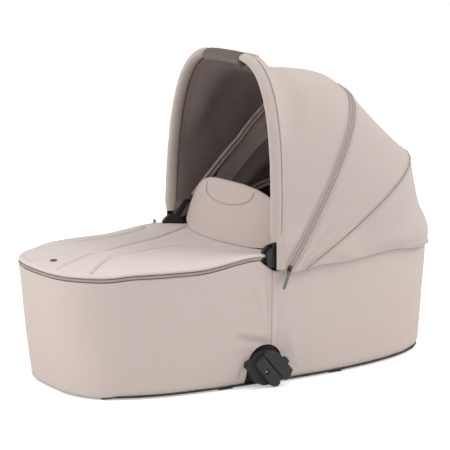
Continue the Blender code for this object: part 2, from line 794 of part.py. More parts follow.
def crown_share(place, edge):
    """How far a place in plan has left the apron's border for its crown, from 0 to 1."""
    away = min(line_distance(place, edge) / APRON_CROWN_REACH, 1.0)
    return 1 - (1 - away) ** 2


def quilt_lines():
    """The sewn lines, in plan."""
    length = -RIM_FOOT_X
    return [[Vector((length * sx, RIM_HALF_WIDTH * sy)) for sx, sy in line] for line in QUILT_LINE_SHARES]


def line_distance(place, line):
    """How far a place in plan lies from a line of places."""
    best = None
    for a, b in zip(line, line[1:]):
        run = b - a
        share = min(max((place - a).dot(run) / run.length_squared, 0.0), 1.0)
        reach = (a + run * share - place).length
        best = reach if best is None or reach < best else best
    return best


def apron_side():
    """The apron's zipped side in plan, round the foot from the far hub to the near one."""
    first = angle_at(APRON_CORNER_X)
    return [Vector(rim_xy(a)) for a in even_angles(APRON_STEPS, first, 2 * math.pi - first)]


def apron_edge():
    """The apron's whole boundary in plan."""
    near = [Vector((APRON_CORNER_X, -APRON_SHOULDER_Y))]
    far = [Vector((APRON_CORNER_X, APRON_SHOULDER_Y))]
    steps = 12
    rear = []
    for i in range(steps + 1):
        y = APRON_SHOULDER_Y * (2 * i / steps - 1)
        rear.append(Vector((flap_x(y) + APRON_REAR_MARGIN, y)))
    return apron_side() + near + rear + far


def drawn_in(edge, inset):
    """A closed line in plan, moved inwards by an inset."""
    count = len(edge)
    turn = sum(edge[i - 1].x * edge[i].y - edge[i].x * edge[i - 1].y for i in range(count))
    result = []
    for i, place in enumerate(edge):
        before = (place - edge[i - 1]).normalized()
        after = (edge[(i + 1) % count] - place).normalized()
        inward = Vector((-(before.y + after.y), before.x + after.x))
        inward = inward if turn > 0 else -inward
        result.append(place + inward.normalized() * inset)
    return result


def inside(place, ring):
    """Whether a place in plan lies inside a closed line."""
    hit = False
    for a, b in zip(ring, ring[1:] + ring[:1]):
        if (a.y > place.y) != (b.y > place.y):
            if place.x < a.x + (b.x - a.x) * (place.y - a.y) / (b.y - a.y):
                hit = not hit
    return hit


def fill_sheet(bm, ring, lines, spacing, height):
    """Fill a closed line with a sheet that follows a height and has edges along sewn lines."""
    plan = list(ring)
    seams = []
    for line in lines:
        for shift in (-CHANNEL_HALF, 0.0, CHANNEL_HALF):
            fine = even([Vector((p.x, p.y, 0)) for p in line], max(4, int(len(line) * 1.8)))
            previous = None
            for i, p in enumerate(fine):
                ahead = fine[min(i + 1, len(fine) - 1)] - fine[max(i - 1, 0)]
                across = Vector((-ahead.y, ahead.x)).normalized()
                place = Vector((p.x, p.y)) + across * shift
                if not inside(place, ring) or line_distance(place, ring + ring[:1]) < CHANNEL_HALF:
                    previous = None
                    continue
                plan.append(place)
                if previous is not None:
                    seams.append((previous, len(plan) - 1))
                previous = len(plan) - 1
    half_x = int(-RIM_FOOT_X / spacing) + 2
    half_y = int(RIM_HALF_WIDTH / spacing) + 2
    for i in range(-half_x, half_x):
        for j in range(-half_y, half_y):
            place = Vector(((i + 0.5 * (j % 2)) * spacing, (j + 0.5) * spacing))
            if not inside(place, ring) or line_distance(place, ring + ring[:1]) < spacing * 0.45:
                continue
            if any(line_distance(place, line) < CHANNEL_HALF + spacing * 0.45 for line in lines):
                continue
            plan.append(place)
    boundary = [list(range(len(ring)))]
    places, _, faces, origins, _, _ = delaunay_2d_cdt(plan, seams, boundary, 1, GAP / 10, True)
    made = [bm.verts.new((p.x, p.y, height(p))) for p in places]
    for face in faces:
        middle = sum((places[i] for i in face), Vector((0, 0))) / len(face)
        if inside(middle, ring):
            bm.faces.new([made[i] for i in face])
    where = {}
    for index, sources in enumerate(origins):
        for source in sources:
            where[source] = index
    return [made[where[i]] for i in range(len(ring))]


def apron(material):
    """The quilted apron: a rounded edge all round, sewn channels on top and a plain underside."""
    edge = apron_edge()
    side = apron_side()
    lines = quilt_lines()

    def top(place):
        """The quilted top's height."""
        plan = Vector((place.x, place.y))
        sewn = min(line_distance(plan, line) for line in lines)
        dip = CHANNEL_DEPTH * (1 - smooth(sewn / CHANNEL_HALF))
        border = rim_z(place.x) + APRON_BORDER
        return border + (crown_z(place.x) - border) * crown_share(plan, side) - dip

    def under(place):
        """The plain underside's height."""
        border = rim_z(place.x) + APRON_UNDERSIDE
        share = crown_share(Vector((place.x, place.y)), side)
        return border + (crown_z(place.x) - APRON_PADDING - border) * share

    bm = bmesh.new()
    inner = drawn_in(edge, APRON_EDGE_ROUND)
    bottom_ring = fill_sheet(bm, drawn_in(edge, APRON_SIDE_BULGE * 2), [], QUILT_SPACING * 1.7, under)
    previous = bottom_ring
    for inset, share in ((-APRON_SIDE_BULGE, 0.35), (APRON_SIDE_BULGE, 0.75)):
        row = []
        for place in drawn_in(edge, inset):
            low = under(place)
            row.append(bm.verts.new((place.x, place.y, low + (top(place) - low) * share)))
        join(bm, previous, row, wrap=True)
        previous = row
    top_ring = fill_sheet(bm, inner, lines, QUILT_SPACING, top)
    join(bm, previous, top_ring, wrap=True)
    bmesh.ops.triangulate(bm, faces=bm.faces)
    add("apron", outwards(bm), material)


def apron_tape(material):
    """The zip tape between the cover's top edge and the apron."""
    first = angle_at(APRON_CORNER_X)
    angles = even_angles(APRON_STEPS, first, 2 * math.pi - first)
    high = APRON_UNDERSIDE - GAP * 2
    low = high - TAPE_WIDTH
    bm = bmesh.new()
    rows = []
    for rise in (low, high):
        rows.append([Vector((x, y, rim_z(x) + rise)) for x, y in (rim_xy(a, TAPE_INSET) for a in angles)])
    skin(bm, rows)
    face_away(bm, Vector((OUTLINE_MIDDLE_X, 0, HUB_Z)))
    thicken(add("apron_zip_tape", bm, material), TAPE_THICKNESS)


def press_stud(material):
    """The stud's cap on the apron, domed."""
    edge = apron_side()
    border = rim_z(STUD_X) + APRON_BORDER
    share = crown_share(Vector((STUD_X + STUD_RADIUS, STUD_Y)), edge)
    seat = border + (crown_z(STUD_X + STUD_RADIUS) - border) * share + GAP
    bm = bmesh.new()
    rows = []
    for out, up in ((1.0, 0.0), (1.0, 0.45), (0.72, 0.9), (0.35, 1.0)):
        z = seat + STUD_HEIGHT * up
        ring = oval(STUD_RADIUS * out, STUD_RADIUS * out, 12)
        rows.append([Vector((STUD_X + a, STUD_Y + b, z)) for a, b in ring])
    rings = skin(bm, rows, wrap=True)
    bm.faces.new(rings[0])
    bm.faces.new(rings[-1])
    add("press_stud", outwards(bm), material)


# Wind flap

def flap_hinge():
    """A place on the line that the wind flap folds about."""
    return Vector((FLAP_MIDDLE_X - FLAP_THICKNESS / 2, 0, flap_base_z()))


def flap_base_z():
    """The height of the flap's lower edge in the middle."""
    return APRON_CROWN_FOOT_Z + APRON_CROWN_STEP + FLAP_SEAT


def flap_low(y):
    """How far the flap's lower edge has risen, which it does towards its wings."""
    return FLAP_WING_RISE * smooth((abs(y) - FLAP_WING_Y) / (FLAP_HALF_WIDTH - FLAP_WING_Y))


def flap_high(y):
    """The height of the flap's top edge above its base."""
    return FLAP_HEIGHT * math.sqrt(1 - (abs(y) / FLAP_HALF_WIDTH) ** FLAP_TOP_POWER)


def wind_flap(material, axis):
    """The padded flap: a sheet swept along its curved base and leaning back, given its thickness."""
    lean = math.tan(math.radians(FLAP_LEAN_DEG))
    columns = 24
    rows = []
    for i in range(6):
        row = []
        for j in range(columns + 1):
            y = FLAP_HALF_WIDTH * FLAP_TIP_SHARE * math.sin(math.pi / 2 * (j / columns * 2 - 1))
            rise = flap_low(y) + (flap_high(y) - flap_low(y)) * i / 5
            row.append(Vector((flap_x(y) + lean * rise, y, flap_base_z() + rise)))
        rows.append(row)
    bm = bmesh.new()
    skin(bm, rows)
    thicken(add("wind_flap", bm, material, axis), FLAP_THICKNESS, offset=0.0)


# Hubs and bow arms

def hub(name, side, material):
    """The hub's housing: a round cheek on a foot that sits on the rim tube."""
    seat = max(rim_tube_place(angle_at(HUB_X + share * HUB_FOOT_HALF)).z for share in (-1.5, -1.0, 0.0, 1.0))
    seat += RIM_TUBE_RADIUS + GAP
    ring = [(u, v) for u, v in circle(HUB_X, HUB_Z, HUB_RADIUS, 24) if v > seat + HUB_RADIUS / 4]
    ring.sort(key=lambda p: math.atan2(p[1] - HUB_Z, p[0] - HUB_X) % (2 * math.pi) if p[1] > HUB_Z
              or p[0] < HUB_X else math.atan2(p[1] - HUB_Z, p[0] - HUB_X))
    foot = HUB_FOOT_HALF
    outline = ring + [(HUB_X - foot, seat + HUB_RADIUS / 6), (HUB_X - foot, seat),
                      (HUB_X + foot, seat), (HUB_X + foot, seat + HUB_RADIUS / 6)]
    bm = bmesh.new()
    prism(bm, outline, HUB_INNER_Y, HUB_OUTER_Y, sideways)
    housing = add(name, mirrored(bm, side), material)
    hole = bmesh.new()
    prism(hole, circle(HUB_X, HUB_Z, PIN_RADIUS + PIN_CLEARANCE, 12), HUB_INNER_Y - OVERRUN,
          HUB_OUTER_Y + OVERRUN, sideways)
    shape(housing, mirrored(hole, side), "DIFFERENCE")


def arm_layer_y(bow):
    """The inner and outer faces of a bow's arm along the pin."""
    low = HUB_OUTER_Y + GAP + bow.layer * ARM_PITCH
    return low, low + ARM_THICKNESS


def hub_pin(name, side, material):
    """The headed pin through the housing and the arms."""
    outer = arm_layer_y(FRONT_BOW)[1] + GAP
    head = PIN_HEAD_RADIUS
    rows = [(PIN_RADIUS, PIN_INNER_Y), (PIN_RADIUS, outer), (head, outer),
            (head, outer + PIN_HEAD_THICKNESS * 0.6), (head * 0.8, outer + PIN_HEAD_THICKNESS)]
    bm = bmesh.new()
    rings = skin(bm, [[Vector((HUB_X + a, y, HUB_Z + b)) for a, b in oval(radius, radius, 12)]
                      for radius, y in rows], wrap=True)
    bm.faces.new(rings[0])
    bm.faces.new(rings[-1])
    add(name, mirrored(outwards(bm), side), material)


def rise_of(bow):
    """A bow's direction in the fan, as a pair along x and z."""
    angle = math.radians(bow.rise_deg)
    return math.cos(angle), math.sin(angle)


def ridge_rz(bow, angle, inset):
    """A bow's outline at an angle round it: its reach from the fan's centre and its place across."""
    c = math.cos(angle)
    s = math.sin(angle)
    size = (abs(c) ** HOOD_POWER + abs(s) ** HOOD_POWER) ** (-1 / HOOD_POWER)
    return (bow.reach - inset) * s * size, -(HOOD_HALF_WIDTH - inset) * c * size


def tube_place(bow, angle):
    """The tube's centre: on its ridge above, bending over to the hub's pin below."""
    cos, sin = rise_of(bow)
    reach, y = ridge_rz(bow, angle, bow.tube_inset)
    to_hub = Vector((HUB_X - FAN_X, HUB_Z - FAN_Z))
    start = to_hub.x * cos + to_hub.y * sin
    aside = to_hub - Vector((cos, sin)) * start
    share = min(max((reach - start) / (BEND_REACH - start), 0.0), 1.0)
    bend = 1 - share
    return Vector((FAN_X + reach * cos + aside.x * bend, y, FAN_Z + reach * sin + aside.y * bend))


def hub_distance(place):
    """How far a place lies from the pins' axis."""
    return math.hypot(place.x - HUB_X, place.z - HUB_Z)


def tube_path(bow, low_y, high_y, count, low_reach=0.0):
    """Places at even spacing along a bow's centre line, between two places across."""
    fine = [tube_place(bow, math.pi * i / 1200) for i in range(1, 1200)]
    kept = [p for p in fine if low_y <= p.y <= high_y and p.z > HUB_Z and hub_distance(p) >= low_reach]
    return even(kept, count)


def bow_leg(bow):
    """The far leg's centre line, from the grip's end down into the arm's socket."""
    return tube_path(bow, GRIP_HALF_LENGTH + GAP, HOOD_HALF_WIDTH, LEG_STEPS, ARM_REACH - SOCKET_DEPTH + GAP)


def bow_top(bow):
    """The centre line between the legs."""
    return tube_path(bow, -GRIP_HALF_LENGTH, GRIP_HALF_LENGTH, TOP_STEPS)


def bow_line(bow):
    """A bow's whole centre line, which its tube, sleeves and grip share."""
    leg = bow_leg(bow)
    mirror = Vector((1, -1, 1))
    return [p * mirror for p in reversed(leg)] + bow_top(bow)[1:-1] + leg


def across_bow(bow):
    """The direction square to a bow's plane, towards the head end."""
    cos, sin = rise_of(bow)
    return Vector((sin, 0, -cos))


def bow_tube(bow, material, axis):
    """The bow's metal tube, ending inside its two arms' sockets."""
    path = bow_line(bow)
    section = [oval(bow.tube_radius, bow.tube_radius, bow.tube_sides)] * len(path)
    bm = bmesh.new()
    rod(bm, path, across_bow(bow), section)
    add(f"{bow.name}_bow", bm, material, axis)


def arm_place(bow, reach):
    """The place on the far leg's centre line at a distance from the pin."""
    fine = [tube_place(bow, math.pi * (1 - i / 4000)) for i in range(1, 900)]
    return min((p for p in fine if p.z > HUB_Z and hub_distance(p) >= reach), key=hub_distance)


def bow_arm(bow, name, side, material, axis):
    """One end of a bow: a disc on the pin and an arm that swells to a socket for the tube."""
    low_y, high_y = arm_layer_y(bow)
    layer_y = (low_y + high_y) / 2
    socket = bow.tube_radius + GAP + SOCKET_WALL
    path = []
    outlines = []
    halfway = (ARM_FLAT_REACH + ARM_RISE_REACH) / 2
    for reach in (ARM_DISC_RADIUS * 0.55, ARM_FLAT_REACH, halfway, ARM_RISE_REACH, ARM_REACH - SOCKET_DEPTH,
                  ARM_REACH):
        place = arm_place(bow, reach)
        share = smooth((reach - ARM_FLAT_REACH) / (ARM_RISE_REACH - ARM_FLAT_REACH))
        y = layer_y + (place.y - layer_y) * share
        path.append(Vector((place.x, y, place.z)))
        half = ARM_HALF_WIDTH + (socket - ARM_HALF_WIDTH) * share
        thick = ARM_THICKNESS / 2 + (socket - ARM_THICKNESS / 2) * share
        outlines.append(oval(half, thick, 8))
    bm = bmesh.new()
    bore = oval(bow.tube_radius + GAP, bow.tube_radius + GAP, 8)
    sleeve(bm, path, across_bow(bow), outlines, bore, bore_start=len(path) - 2)
    arm = add(name, mirrored(bm, side), material, axis)
    disc = bmesh.new()
    rings = []
    for radius, y in ((ARM_DISC_RADIUS, low_y), (ARM_DISC_RADIUS, high_y),
                      (PIN_RADIUS + PIN_CLEARANCE, high_y), (PIN_RADIUS + PIN_CLEARANCE, low_y)):
        rings.append([Vector((HUB_X + a, y, HUB_Z + b)) for a, b in oval(radius, radius, ROUND_SIDES)])
    rings = skin(disc, rings, wrap=True)
    join(disc, rings[-1], rings[0], wrap=True)
    shape(arm, mirrored(outwards(disc), side), "UNION", axis)


# Sleeves and grip

def front_sleeve(name, side, material, axis):
    """The cloth sleeve on a leg of the front bow, over its arm below and flared where it meets the grip."""
    bow = FRONT_BOW
    around = bow.tube_radius + SOCKET_WALL + GAP * 2
    depth = around + SLEEVE_CLOTH
    taper_end = SLEEVE_FOOT_REACH + SLEEVE_TAPER_RUN
    path = [arm_place(bow, reach) for reach in (SLEEVE_FOOT_REACH, taper_end, ARM_REACH)]
    path += [p for p in reversed(bow_leg(bow)) if hub_distance(p) > ARM_REACH + SOCKET_DEPTH]
    halves = [FRONT_SLEEVE_HALF] * len(path)
    halves[0] = depth
    halves[-2] = FRONT_SLEEVE_HALF * (1 + SLEEVE_FLARE_SHARE) / 2
    halves[-1] = FRONT_SLEEVE_HALF * SLEEVE_FLARE_SHARE
    bm = bmesh.new()
    sleeve(bm, path, across_bow(bow), [oval(half, depth, 8) for half in halves], oval(around, around, 8))
    add(name, mirrored(bm, side), material, axis)


def inner_sleeve(bow, material, axis):
    """The narrow cloth sleeve that holds a bow between the outer cloth and the lining."""
    path = [p for p in bow_line(bow) if hub_distance(p) > SLEEVE_START_REACH]
    radius = bow.tube_radius + GAP + SLEEVE_CLOTH
    outlines = [oval(radius, radius, 6)] * len(path)
    bore = oval(bow.tube_radius + GAP, bow.tube_radius + GAP, 6)
    bm = bmesh.new()
    sleeve(bm, path, across_bow(bow), outlines, bore)
    add(f"{bow.name}_bow_sleeve", bm, material, axis)


def carry_grip(material, axis):
    """The padded grip round the top of the front bow."""
    bow = FRONT_BOW
    path = bow_top(bow)
    sizes = [0.86] + [1.0] * (len(path) - 2) + [0.86]
    drop = GRIP_DROP
    outlines = [[(a, b + drop) for a, b in oval(GRIP_RADIUS * k, GRIP_RADIUS * k, 12)] for k in sizes]
    bore = oval(bow.tube_radius + GAP * 2, bow.tube_radius + GAP * 2, 12)
    bm = bmesh.new()
    sleeve(bm, path, across_bow(bow), outlines, bore)
    add("carry_grip", bm, material, axis)


# Hood cloth

def ridge_line(bow, low_z=None, inset=0.0, along=0.0, count=HOOD_STEPS + 1, tuck=True, shift=None):
    """A line over the hood beside a bow's ridge, from the near hem to the far one."""
    cos, sin = rise_of(bow)
    low_z = bow.hem_z if low_z is None else low_z
    start = math.atan2((low_z - FAN_Z) / sin, bow.reach - inset)
    across = across_bow(bow)
    places = []
    for i in range(401):
        angle = start + (math.pi - 2 * start) * i / 400
        reach, y = ridge_rz(bow, angle, inset)
        place = Vector((FAN_X + reach * cos, y, FAN_Z + reach * sin))
        extra = shift(place) if shift else 0.0
        place += across * (along + extra)
        if tuck:
            drawn = HEM_TUCK * (1 - smooth((place.z - bow.hem_z) / TUCK_RISE))
            place.y -= math.copysign(drawn, place.y)
        places.append(place)
    return even(places, count)


def hem_line(start_x, inset, rise, dip_depth, count=HOOD_STEPS + 1):
    """A line round the head end beside the rim, from the near side to the far one."""
    turn = angle_at(start_x)
    fine = []
    for angle in even_angles(count * 4, -turn, turn):
        x, y = rim_xy(angle, inset)
        dip = dip_depth * (1 - smooth((x - HEM_DIP_X) / HEM_DIP_RUN))
        fine.append(Vector((x, y, rim_z(x) + rise - dip)))
    return even(fine, count)


def cloth_panel(name, first, last, thickness, material, axis, rows=5, sag_share=0.0):
    """A sheet between two lines over the hood, drawn in between them where it spans far."""
    heart = Vector((FAN_X + BEND_REACH / 3, 0, HUB_Z))
    lines = []
    for i in range(rows):
        share = i / (rows - 1)
        line = []
        for a, b in zip(first, last):
            place = a.lerp(b, share)
            span = max((b - a).length - SAG_FREE_SPAN, 0.0)
            inward = (heart - place).normalized()
            line.append(place + inward * (span * sag_share * math.sin(math.pi * share)))
        lines.append(line)
    bm = bmesh.new()
    skin(bm, lines)
    face_away(bm, heart)
    thicken(add(name, bm, material, axis), thickness)


def finger_gap(place):
    """How far the front cloth stands back behind the grip, to leave room for fingers."""
    if place.z < HUB_Z + BEND_REACH:
        return 0.0
    return FINGER_GAP * (1 - smooth((abs(place.y) - FINGER_HALF) / FINGER_FADE))


def cloth_facing(axis, along, material):
    """The facing that closes the cloth's edge behind the grip, between the outer cloth and the lining."""
    high = FRONT_CLOTH_INSET
    low = LINING_INSET - GAP * 2
    half = FACING_THICKNESS / 2
    line = ridge_line(FRONT_BOW, None, (low + high) / 2, along - GAP * 2 - half, shift=finger_gap)
    path = [p for p in line if abs(p.y) < FINGER_HALF + FINGER_FADE / 2]
    reach = (low - high) / 2
    section = [(half, reach), (-half, reach), (-half, -reach), (half, -reach)]
    bm = bmesh.new()
    rod(bm, path, across_bow(FRONT_BOW), [section] * len(path))
    add("hood_front_facing", bm, material, axis)


def hood_cloth(cloth, lining, mesh, tape, axes):
    """The outer panels, the zip tape over the middle bow, the linings and the mesh lining."""
    front_edge = FRONT_SLEEVE_HALF * FRONT_CLOTH_SHARE
    tape_half = HOOD_TAPE_WIDTH / 2
    tape_edge = tape_half + GAP
    sag = PANEL_SAG_SHARE
    cloth_panel("hood_front_panel",
                ridge_line(FRONT_BOW, None, FRONT_CLOTH_INSET, front_edge, shift=finger_gap),
                ridge_line(MIDDLE_BOW, None, 0.0, -tape_edge), PANEL_THICKNESS, cloth, axes["front"],
                sag_share=sag)
    cloth_panel("hood_zip_tape", ridge_line(MIDDLE_BOW, None, 0.0, -tape_half),
                ridge_line(MIDDLE_BOW, None, 0.0, tape_half), PANEL_THICKNESS, tape, axes["middle"], rows=2)
    cloth_panel("hood_middle_panel", ridge_line(MIDDLE_BOW, None, 0.0, tape_edge),
                ridge_line(REAR_BOW, None, 0.0, -SEAM_HALF), PANEL_THICKNESS, cloth, axes["middle"],
                sag_share=sag)
    cloth_panel("hood_rear_panel", ridge_line(REAR_BOW, None, 0.0, SEAM_HALF),
                hem_line(HEM_START_X, -HEM_OUTSET, -HEM_DROP, HEM_DIP), PANEL_THICKNESS, cloth, axes["rear"],
                sag_share=sag / 2)
    cloth_facing(axes["front"], front_edge, cloth)
    inset = LINING_INSET
    low = LINING_LOW_Z
    lining_edge = FRONT_SLEEVE_HALF * FRONT_LINING_SHARE
    cloth_panel("hood_front_lining", ridge_line(FRONT_BOW, low, inset, lining_edge, shift=finger_gap),
                ridge_line(MIDDLE_BOW, low, inset, -SEAM_HALF), LINING_THICKNESS, lining, axes["front"],
                rows=4)
    cloth_panel("hood_middle_lining", ridge_line(MIDDLE_BOW, low, inset, SEAM_HALF),
                ridge_line(REAR_BOW, low, inset, -SEAM_HALF), LINING_THICKNESS, lining, axes["middle"],
                rows=4)
    cloth_panel("hood_rear_mesh", ridge_line(REAR_BOW, low, inset, SEAM_HALF),
                hem_line(MESH_START_X, MESH_RIM_INSET, MESH_RIM_RISE, 0.0), LINING_THICKNESS, mesh,
                axes["rear"], rows=4)


# Zip sliders and pull tabs

@dataclass(frozen=True)
class Zip:
    """A zip slider's sizes: its body, the loop that stands on it and the tab that the loop holds."""
    length: float
    width: float
    tab_length: float
    tab_width: float
    lean_deg: float


HOOD_ZIP = Zip(0.0120, 0.0085, 0.0400, 0.0056, 22.0)
APRON_ZIP = Zip(0.0095, 0.0070, 0.0180, 0.0046, 0.0)


def hood_slider_place():
    """Where the hood zip's slider sits on its tape, on the far side."""
    line = [p for p in even(ridge_line(MIDDLE_BOW), 1601) if p.y > 0]
    wanted = MIDDLE_BOW.hem_z + ZIP_SLIDER_RISE
    place = min(line, key=lambda p: abs(p.z - wanted))
    outer = max(p.y for p in line if abs(p.z - wanted) < HOOD_ZIP.length / 2)
    return Vector((place.x, outer + GAP * 2, place.z))


def apron_slider_place():
    """Where the apron zip's slider lies against the apron's edge, on the far side."""
    x, y = rim_xy(angle_at(APRON_SLIDER_X))
    return Vector((x, y + APRON_SIDE_BULGE + GAP, rim_z(x) + APRON_UNDERSIDE + APRON_SLIDER_RISE))


def tab_axis(seat):
    """The middle of the tab's bar, which it swings about, over a slider's seat."""
    return seat + Vector((0, SLIDER_HEIGHT + TAB_CLEARANCE, 0))


def slanted(centre, lean_deg):
    """A placing function for a flat shape: v runs up along a leaning line, w outwards."""
    lean = math.radians(lean_deg)

    def place(u, v, w):
        """World place of a local one."""
        return Vector((centre.x + u * math.cos(lean) + v * math.sin(lean), centre.y + w,
                       centre.z - u * math.sin(lean) + v * math.cos(lean)))
    return place


def rounded(half_u, low_v, high_v, corner):
    """A plate outline with cut corners."""
    return [(half_u, low_v + corner), (half_u, high_v - corner), (half_u - corner, high_v),
            (-half_u + corner, high_v), (-half_u, high_v - corner), (-half_u, low_v + corner),
            (-half_u + corner, low_v), (half_u - corner, low_v)]


def slider(name, side, kind, seat, material, axis=None):
    """A slider's body with the loop on it that holds the tab's bar."""
    place = slanted(seat, kind.lean_deg)
    half = kind.length / 2
    bm = bmesh.new()
    prism(bm, rounded(kind.width / 2, -half, half, kind.width / 4), 0.0, SLIDER_HEIGHT, place)
    body = add(name, mirrored(bm, side), material, axis)
    low = SLIDER_HEIGHT / 2
    under = SLIDER_HEIGHT + TAB_CLEARANCE * 2
    top = under + LOOP_WIRE
    inner = LOOP_HALF_LENGTH - LOOP_WIRE
    reach = LOOP_HALF_LENGTH
    outline = [(-reach, low), (-reach, top), (reach, top), (reach, low),
               (inner, low), (inner, under), (-inner, under), (-inner, low)]
    loop = bmesh.new()
    prism(loop, outline, -LOOP_WIRE / 2, LOOP_WIRE / 2, lambda v, w, u: place(u, v, w))
    shape(body, mirrored(loop, side), "UNION", axis)


def pull(name, side, kind, seat, material, axis):
    """A pull tab: a bar under the slider's loop, a window that the loop stands in, and a rounded grip."""
    place = slanted(tab_axis(seat), kind.lean_deg)
    half = kind.tab_width / 2
    length = kind.tab_length
    outline = [(half, TAB_BAR / 2), (-half, TAB_BAR / 2)]
    outline += [(-half * across, -length * down) for across, down in TAB_EDGE_SHARES]
    outline += [(half * across, -length * down) for across, down in reversed(TAB_EDGE_SHARES)]
    bm = bmesh.new()
    prism(bm, outline, -TAB_THICKNESS / 2, TAB_THICKNESS / 2, place)
    tab = add(name, mirrored(bm, side), material, axis)
    window_half = LOOP_WIRE / 2 + GAP * 2
    window = bmesh.new()
    prism(window, [(window_half, -TAB_BAR / 2), (-window_half, -TAB_BAR / 2), (-window_half, -TAB_WINDOW),
                   (window_half, -TAB_WINDOW)], -TAB_THICKNESS, TAB_THICKNESS, place)
    shape(tab, mirrored(window, side), "DIFFERENCE", axis)


# Adaptors

def adaptor_xz(u, v):
    """World x and z of a place in the adaptor's turned frame."""
    turn = math.radians(ADAPTOR_TURN_DEG)
    cos = math.cos(turn)
    sin = math.sin(turn)
    return ADAPTOR_X + u * cos - v * sin, ADAPTOR_Z + u * sin + v * cos


def adaptor_place(u, v, w):
    """World place of a place in the far adaptor's turned frame."""
    x, z = adaptor_xz(u, v)
    return Vector((x, w, z))


def drum_outline(grow=0.0):
    """The drum's outline: round, with one corner drawn out."""
    outline = []
    for i in range(24):
        angle = 2 * math.pi * i / 24
        radius = DRUM_RADIUS + grow
        if i in (14, 15):
            radius = DRUM_CORNER + grow
        outline.append((DRUM_OFFSET + radius * math.cos(angle), DRUM_OFFSET + radius * math.sin(angle)))
    return outline


def slab_outlines():
    """The two slabs' outlines: the lower one chamfered and notched, the upper one with a round shoulder."""
    c = SLAB_CHAMFER
    step = SLAB_END - SLAB_NOTCH
    lower = [(SLAB_START + c / 2, SLAB_LOW), (SLAB_END - c, SLAB_LOW), (SLAB_END, SLAB_LOW + c),
             (SLAB_END, SLAB_GROOVE_LOW - c * 1.4), (step, SLAB_GROOVE_LOW - c), (step, SLAB_GROOVE_LOW),
             (SLAB_START, SLAB_GROOVE_LOW), (SLAB_START, SLAB_LOW + c / 2)]
    shoulder = []
    centre_u = SLAB_START + NOSE_RADIUS
    centre_v = SLAB_HIGH - NOSE_RADIUS
    for i in range(7):
        angle = math.pi / 2 + math.pi / 2 * i / 6
        shoulder.append((centre_u + NOSE_RADIUS * math.cos(angle), centre_v + NOSE_RADIUS * math.sin(angle)))
    shoulder = [(u, v) for u, v in shoulder if v > SLAB_GROOVE_HIGH + GAP]
    upper = [(SLAB_START + c / 8, SLAB_GROOVE_HIGH), (step, SLAB_GROOVE_HIGH),
             (SLAB_NOSE, SLAB_GROOVE_HIGH + c / 3), (SLAB_NOSE, SLAB_HIGH - c * 1.8), (SLAB_END, SLAB_HIGH)]
    upper += shoulder
    return lower, upper


def adaptor(name, side, material):
    """The moulded adaptor: a drum on the tub's side with two slabs, a groove, a recess and a latch pocket."""
    bm = bmesh.new()
    prism(bm, drum_outline(), DRUM_INNER_Y, DRUM_OUTER_Y, adaptor_place)
    body = add(name, mirrored(bm, side), material)
    for outline in slab_outlines():
        slab = bmesh.new()
        prism(slab, outline, DRUM_OUTER_Y - OVERRUN / 2, SLAB_OUTER_Y, adaptor_place)
        front = [e for e in slab.edges if all(abs(v.co.y - SLAB_OUTER_Y) < GAP for v in e.verts)]
        bmesh.ops.bevel(slab, geom=front, offset=FOOT_BEVEL, segments=1, affect="EDGES", profile=0.5,
                        material=-1)
        shape(body, mirrored(slab, side), "UNION")
    recess = bmesh.new()
    prism(recess, circle(SCREW_U, SCREW_V, SCREW_RECESS_RADIUS, 12), SLAB_OUTER_Y - SCREW_RECESS_DEPTH,
          SLAB_OUTER_Y + OVERRUN, adaptor_place)
    shape(body, mirrored(recess, side), "DIFFERENCE")
    bore = bmesh.new()
    prism(bore, circle(SCREW_U, SCREW_V, SCREW_SHANK_RADIUS + GAP, 8), DRUM_INNER_Y - OVERRUN,
          SLAB_OUTER_Y, adaptor_place)
    shape(body, mirrored(bore, side), "DIFFERENCE")
    pocket = bmesh.new()
    half = LATCH_LENGTH / 2 + LATCH_CLEARANCE
    depth = LATCH_DEPTH + LATCH_TRAVEL + LATCH_CLEARANCE
    outline = [(LATCH_CENTRE - half, SLAB_HIGH - depth), (LATCH_CENTRE + half, SLAB_HIGH - depth),
               (LATCH_CENTRE + half, SLAB_HIGH + OVERRUN), (LATCH_CENTRE - half, SLAB_HIGH + OVERRUN)]
    prism(pocket, outline, LATCH_LOW_Y - LATCH_CLEARANCE, LATCH_HIGH_Y + LATCH_CLEARANCE, adaptor_place)
    shape(body, mirrored(pocket, side), "DIFFERENCE")


def latch(name, side, material, axis):
    """The release tab that presses into the upper slab."""
    half = LATCH_LENGTH / 2
    high = SLAB_HIGH + LATCH_STAND
    c = LATCH_STAND / 3
    outline = [(LATCH_CENTRE - half, SLAB_HIGH - LATCH_DEPTH), (LATCH_CENTRE + half, SLAB_HIGH - LATCH_DEPTH),
               (LATCH_CENTRE + half, high - c), (LATCH_CENTRE + half - c, high),
               (LATCH_CENTRE - half + c, high), (LATCH_CENTRE - half, high - c)]
    bm = bmesh.new()
    prism(bm, outline, LATCH_LOW_Y, LATCH_HIGH_Y, adaptor_place)
    add(name, mirrored(bm, side), material, axis)


def adaptor_screw(name, side, material):
    """The screw that holds the adaptor to the upright, its head in the recess."""
    seat = SLAB_OUTER_Y - SCREW_RECESS_DEPTH + GAP
    rows = [(SCREW_SHANK_RADIUS, SCREW_END_Y), (SCREW_SHANK_RADIUS, seat), (SCREW_RADIUS, seat),
            (SCREW_RADIUS, seat + SCREW_HEAD_HEIGHT * 0.6), (SCREW_RADIUS * 0.7, seat + SCREW_HEAD_HEIGHT)]
    bm = bmesh.new()
    rings = skin(bm, [[adaptor_place(SCREW_U + a, SCREW_V + b, y) for a, b in oval(radius, radius, 8)]
                      for radius, y in rows], wrap=True)
    bm.faces.new(rings[0])
    bm.faces.new(rings[-1])
    add(name, mirrored(outwards(bm), side), material)


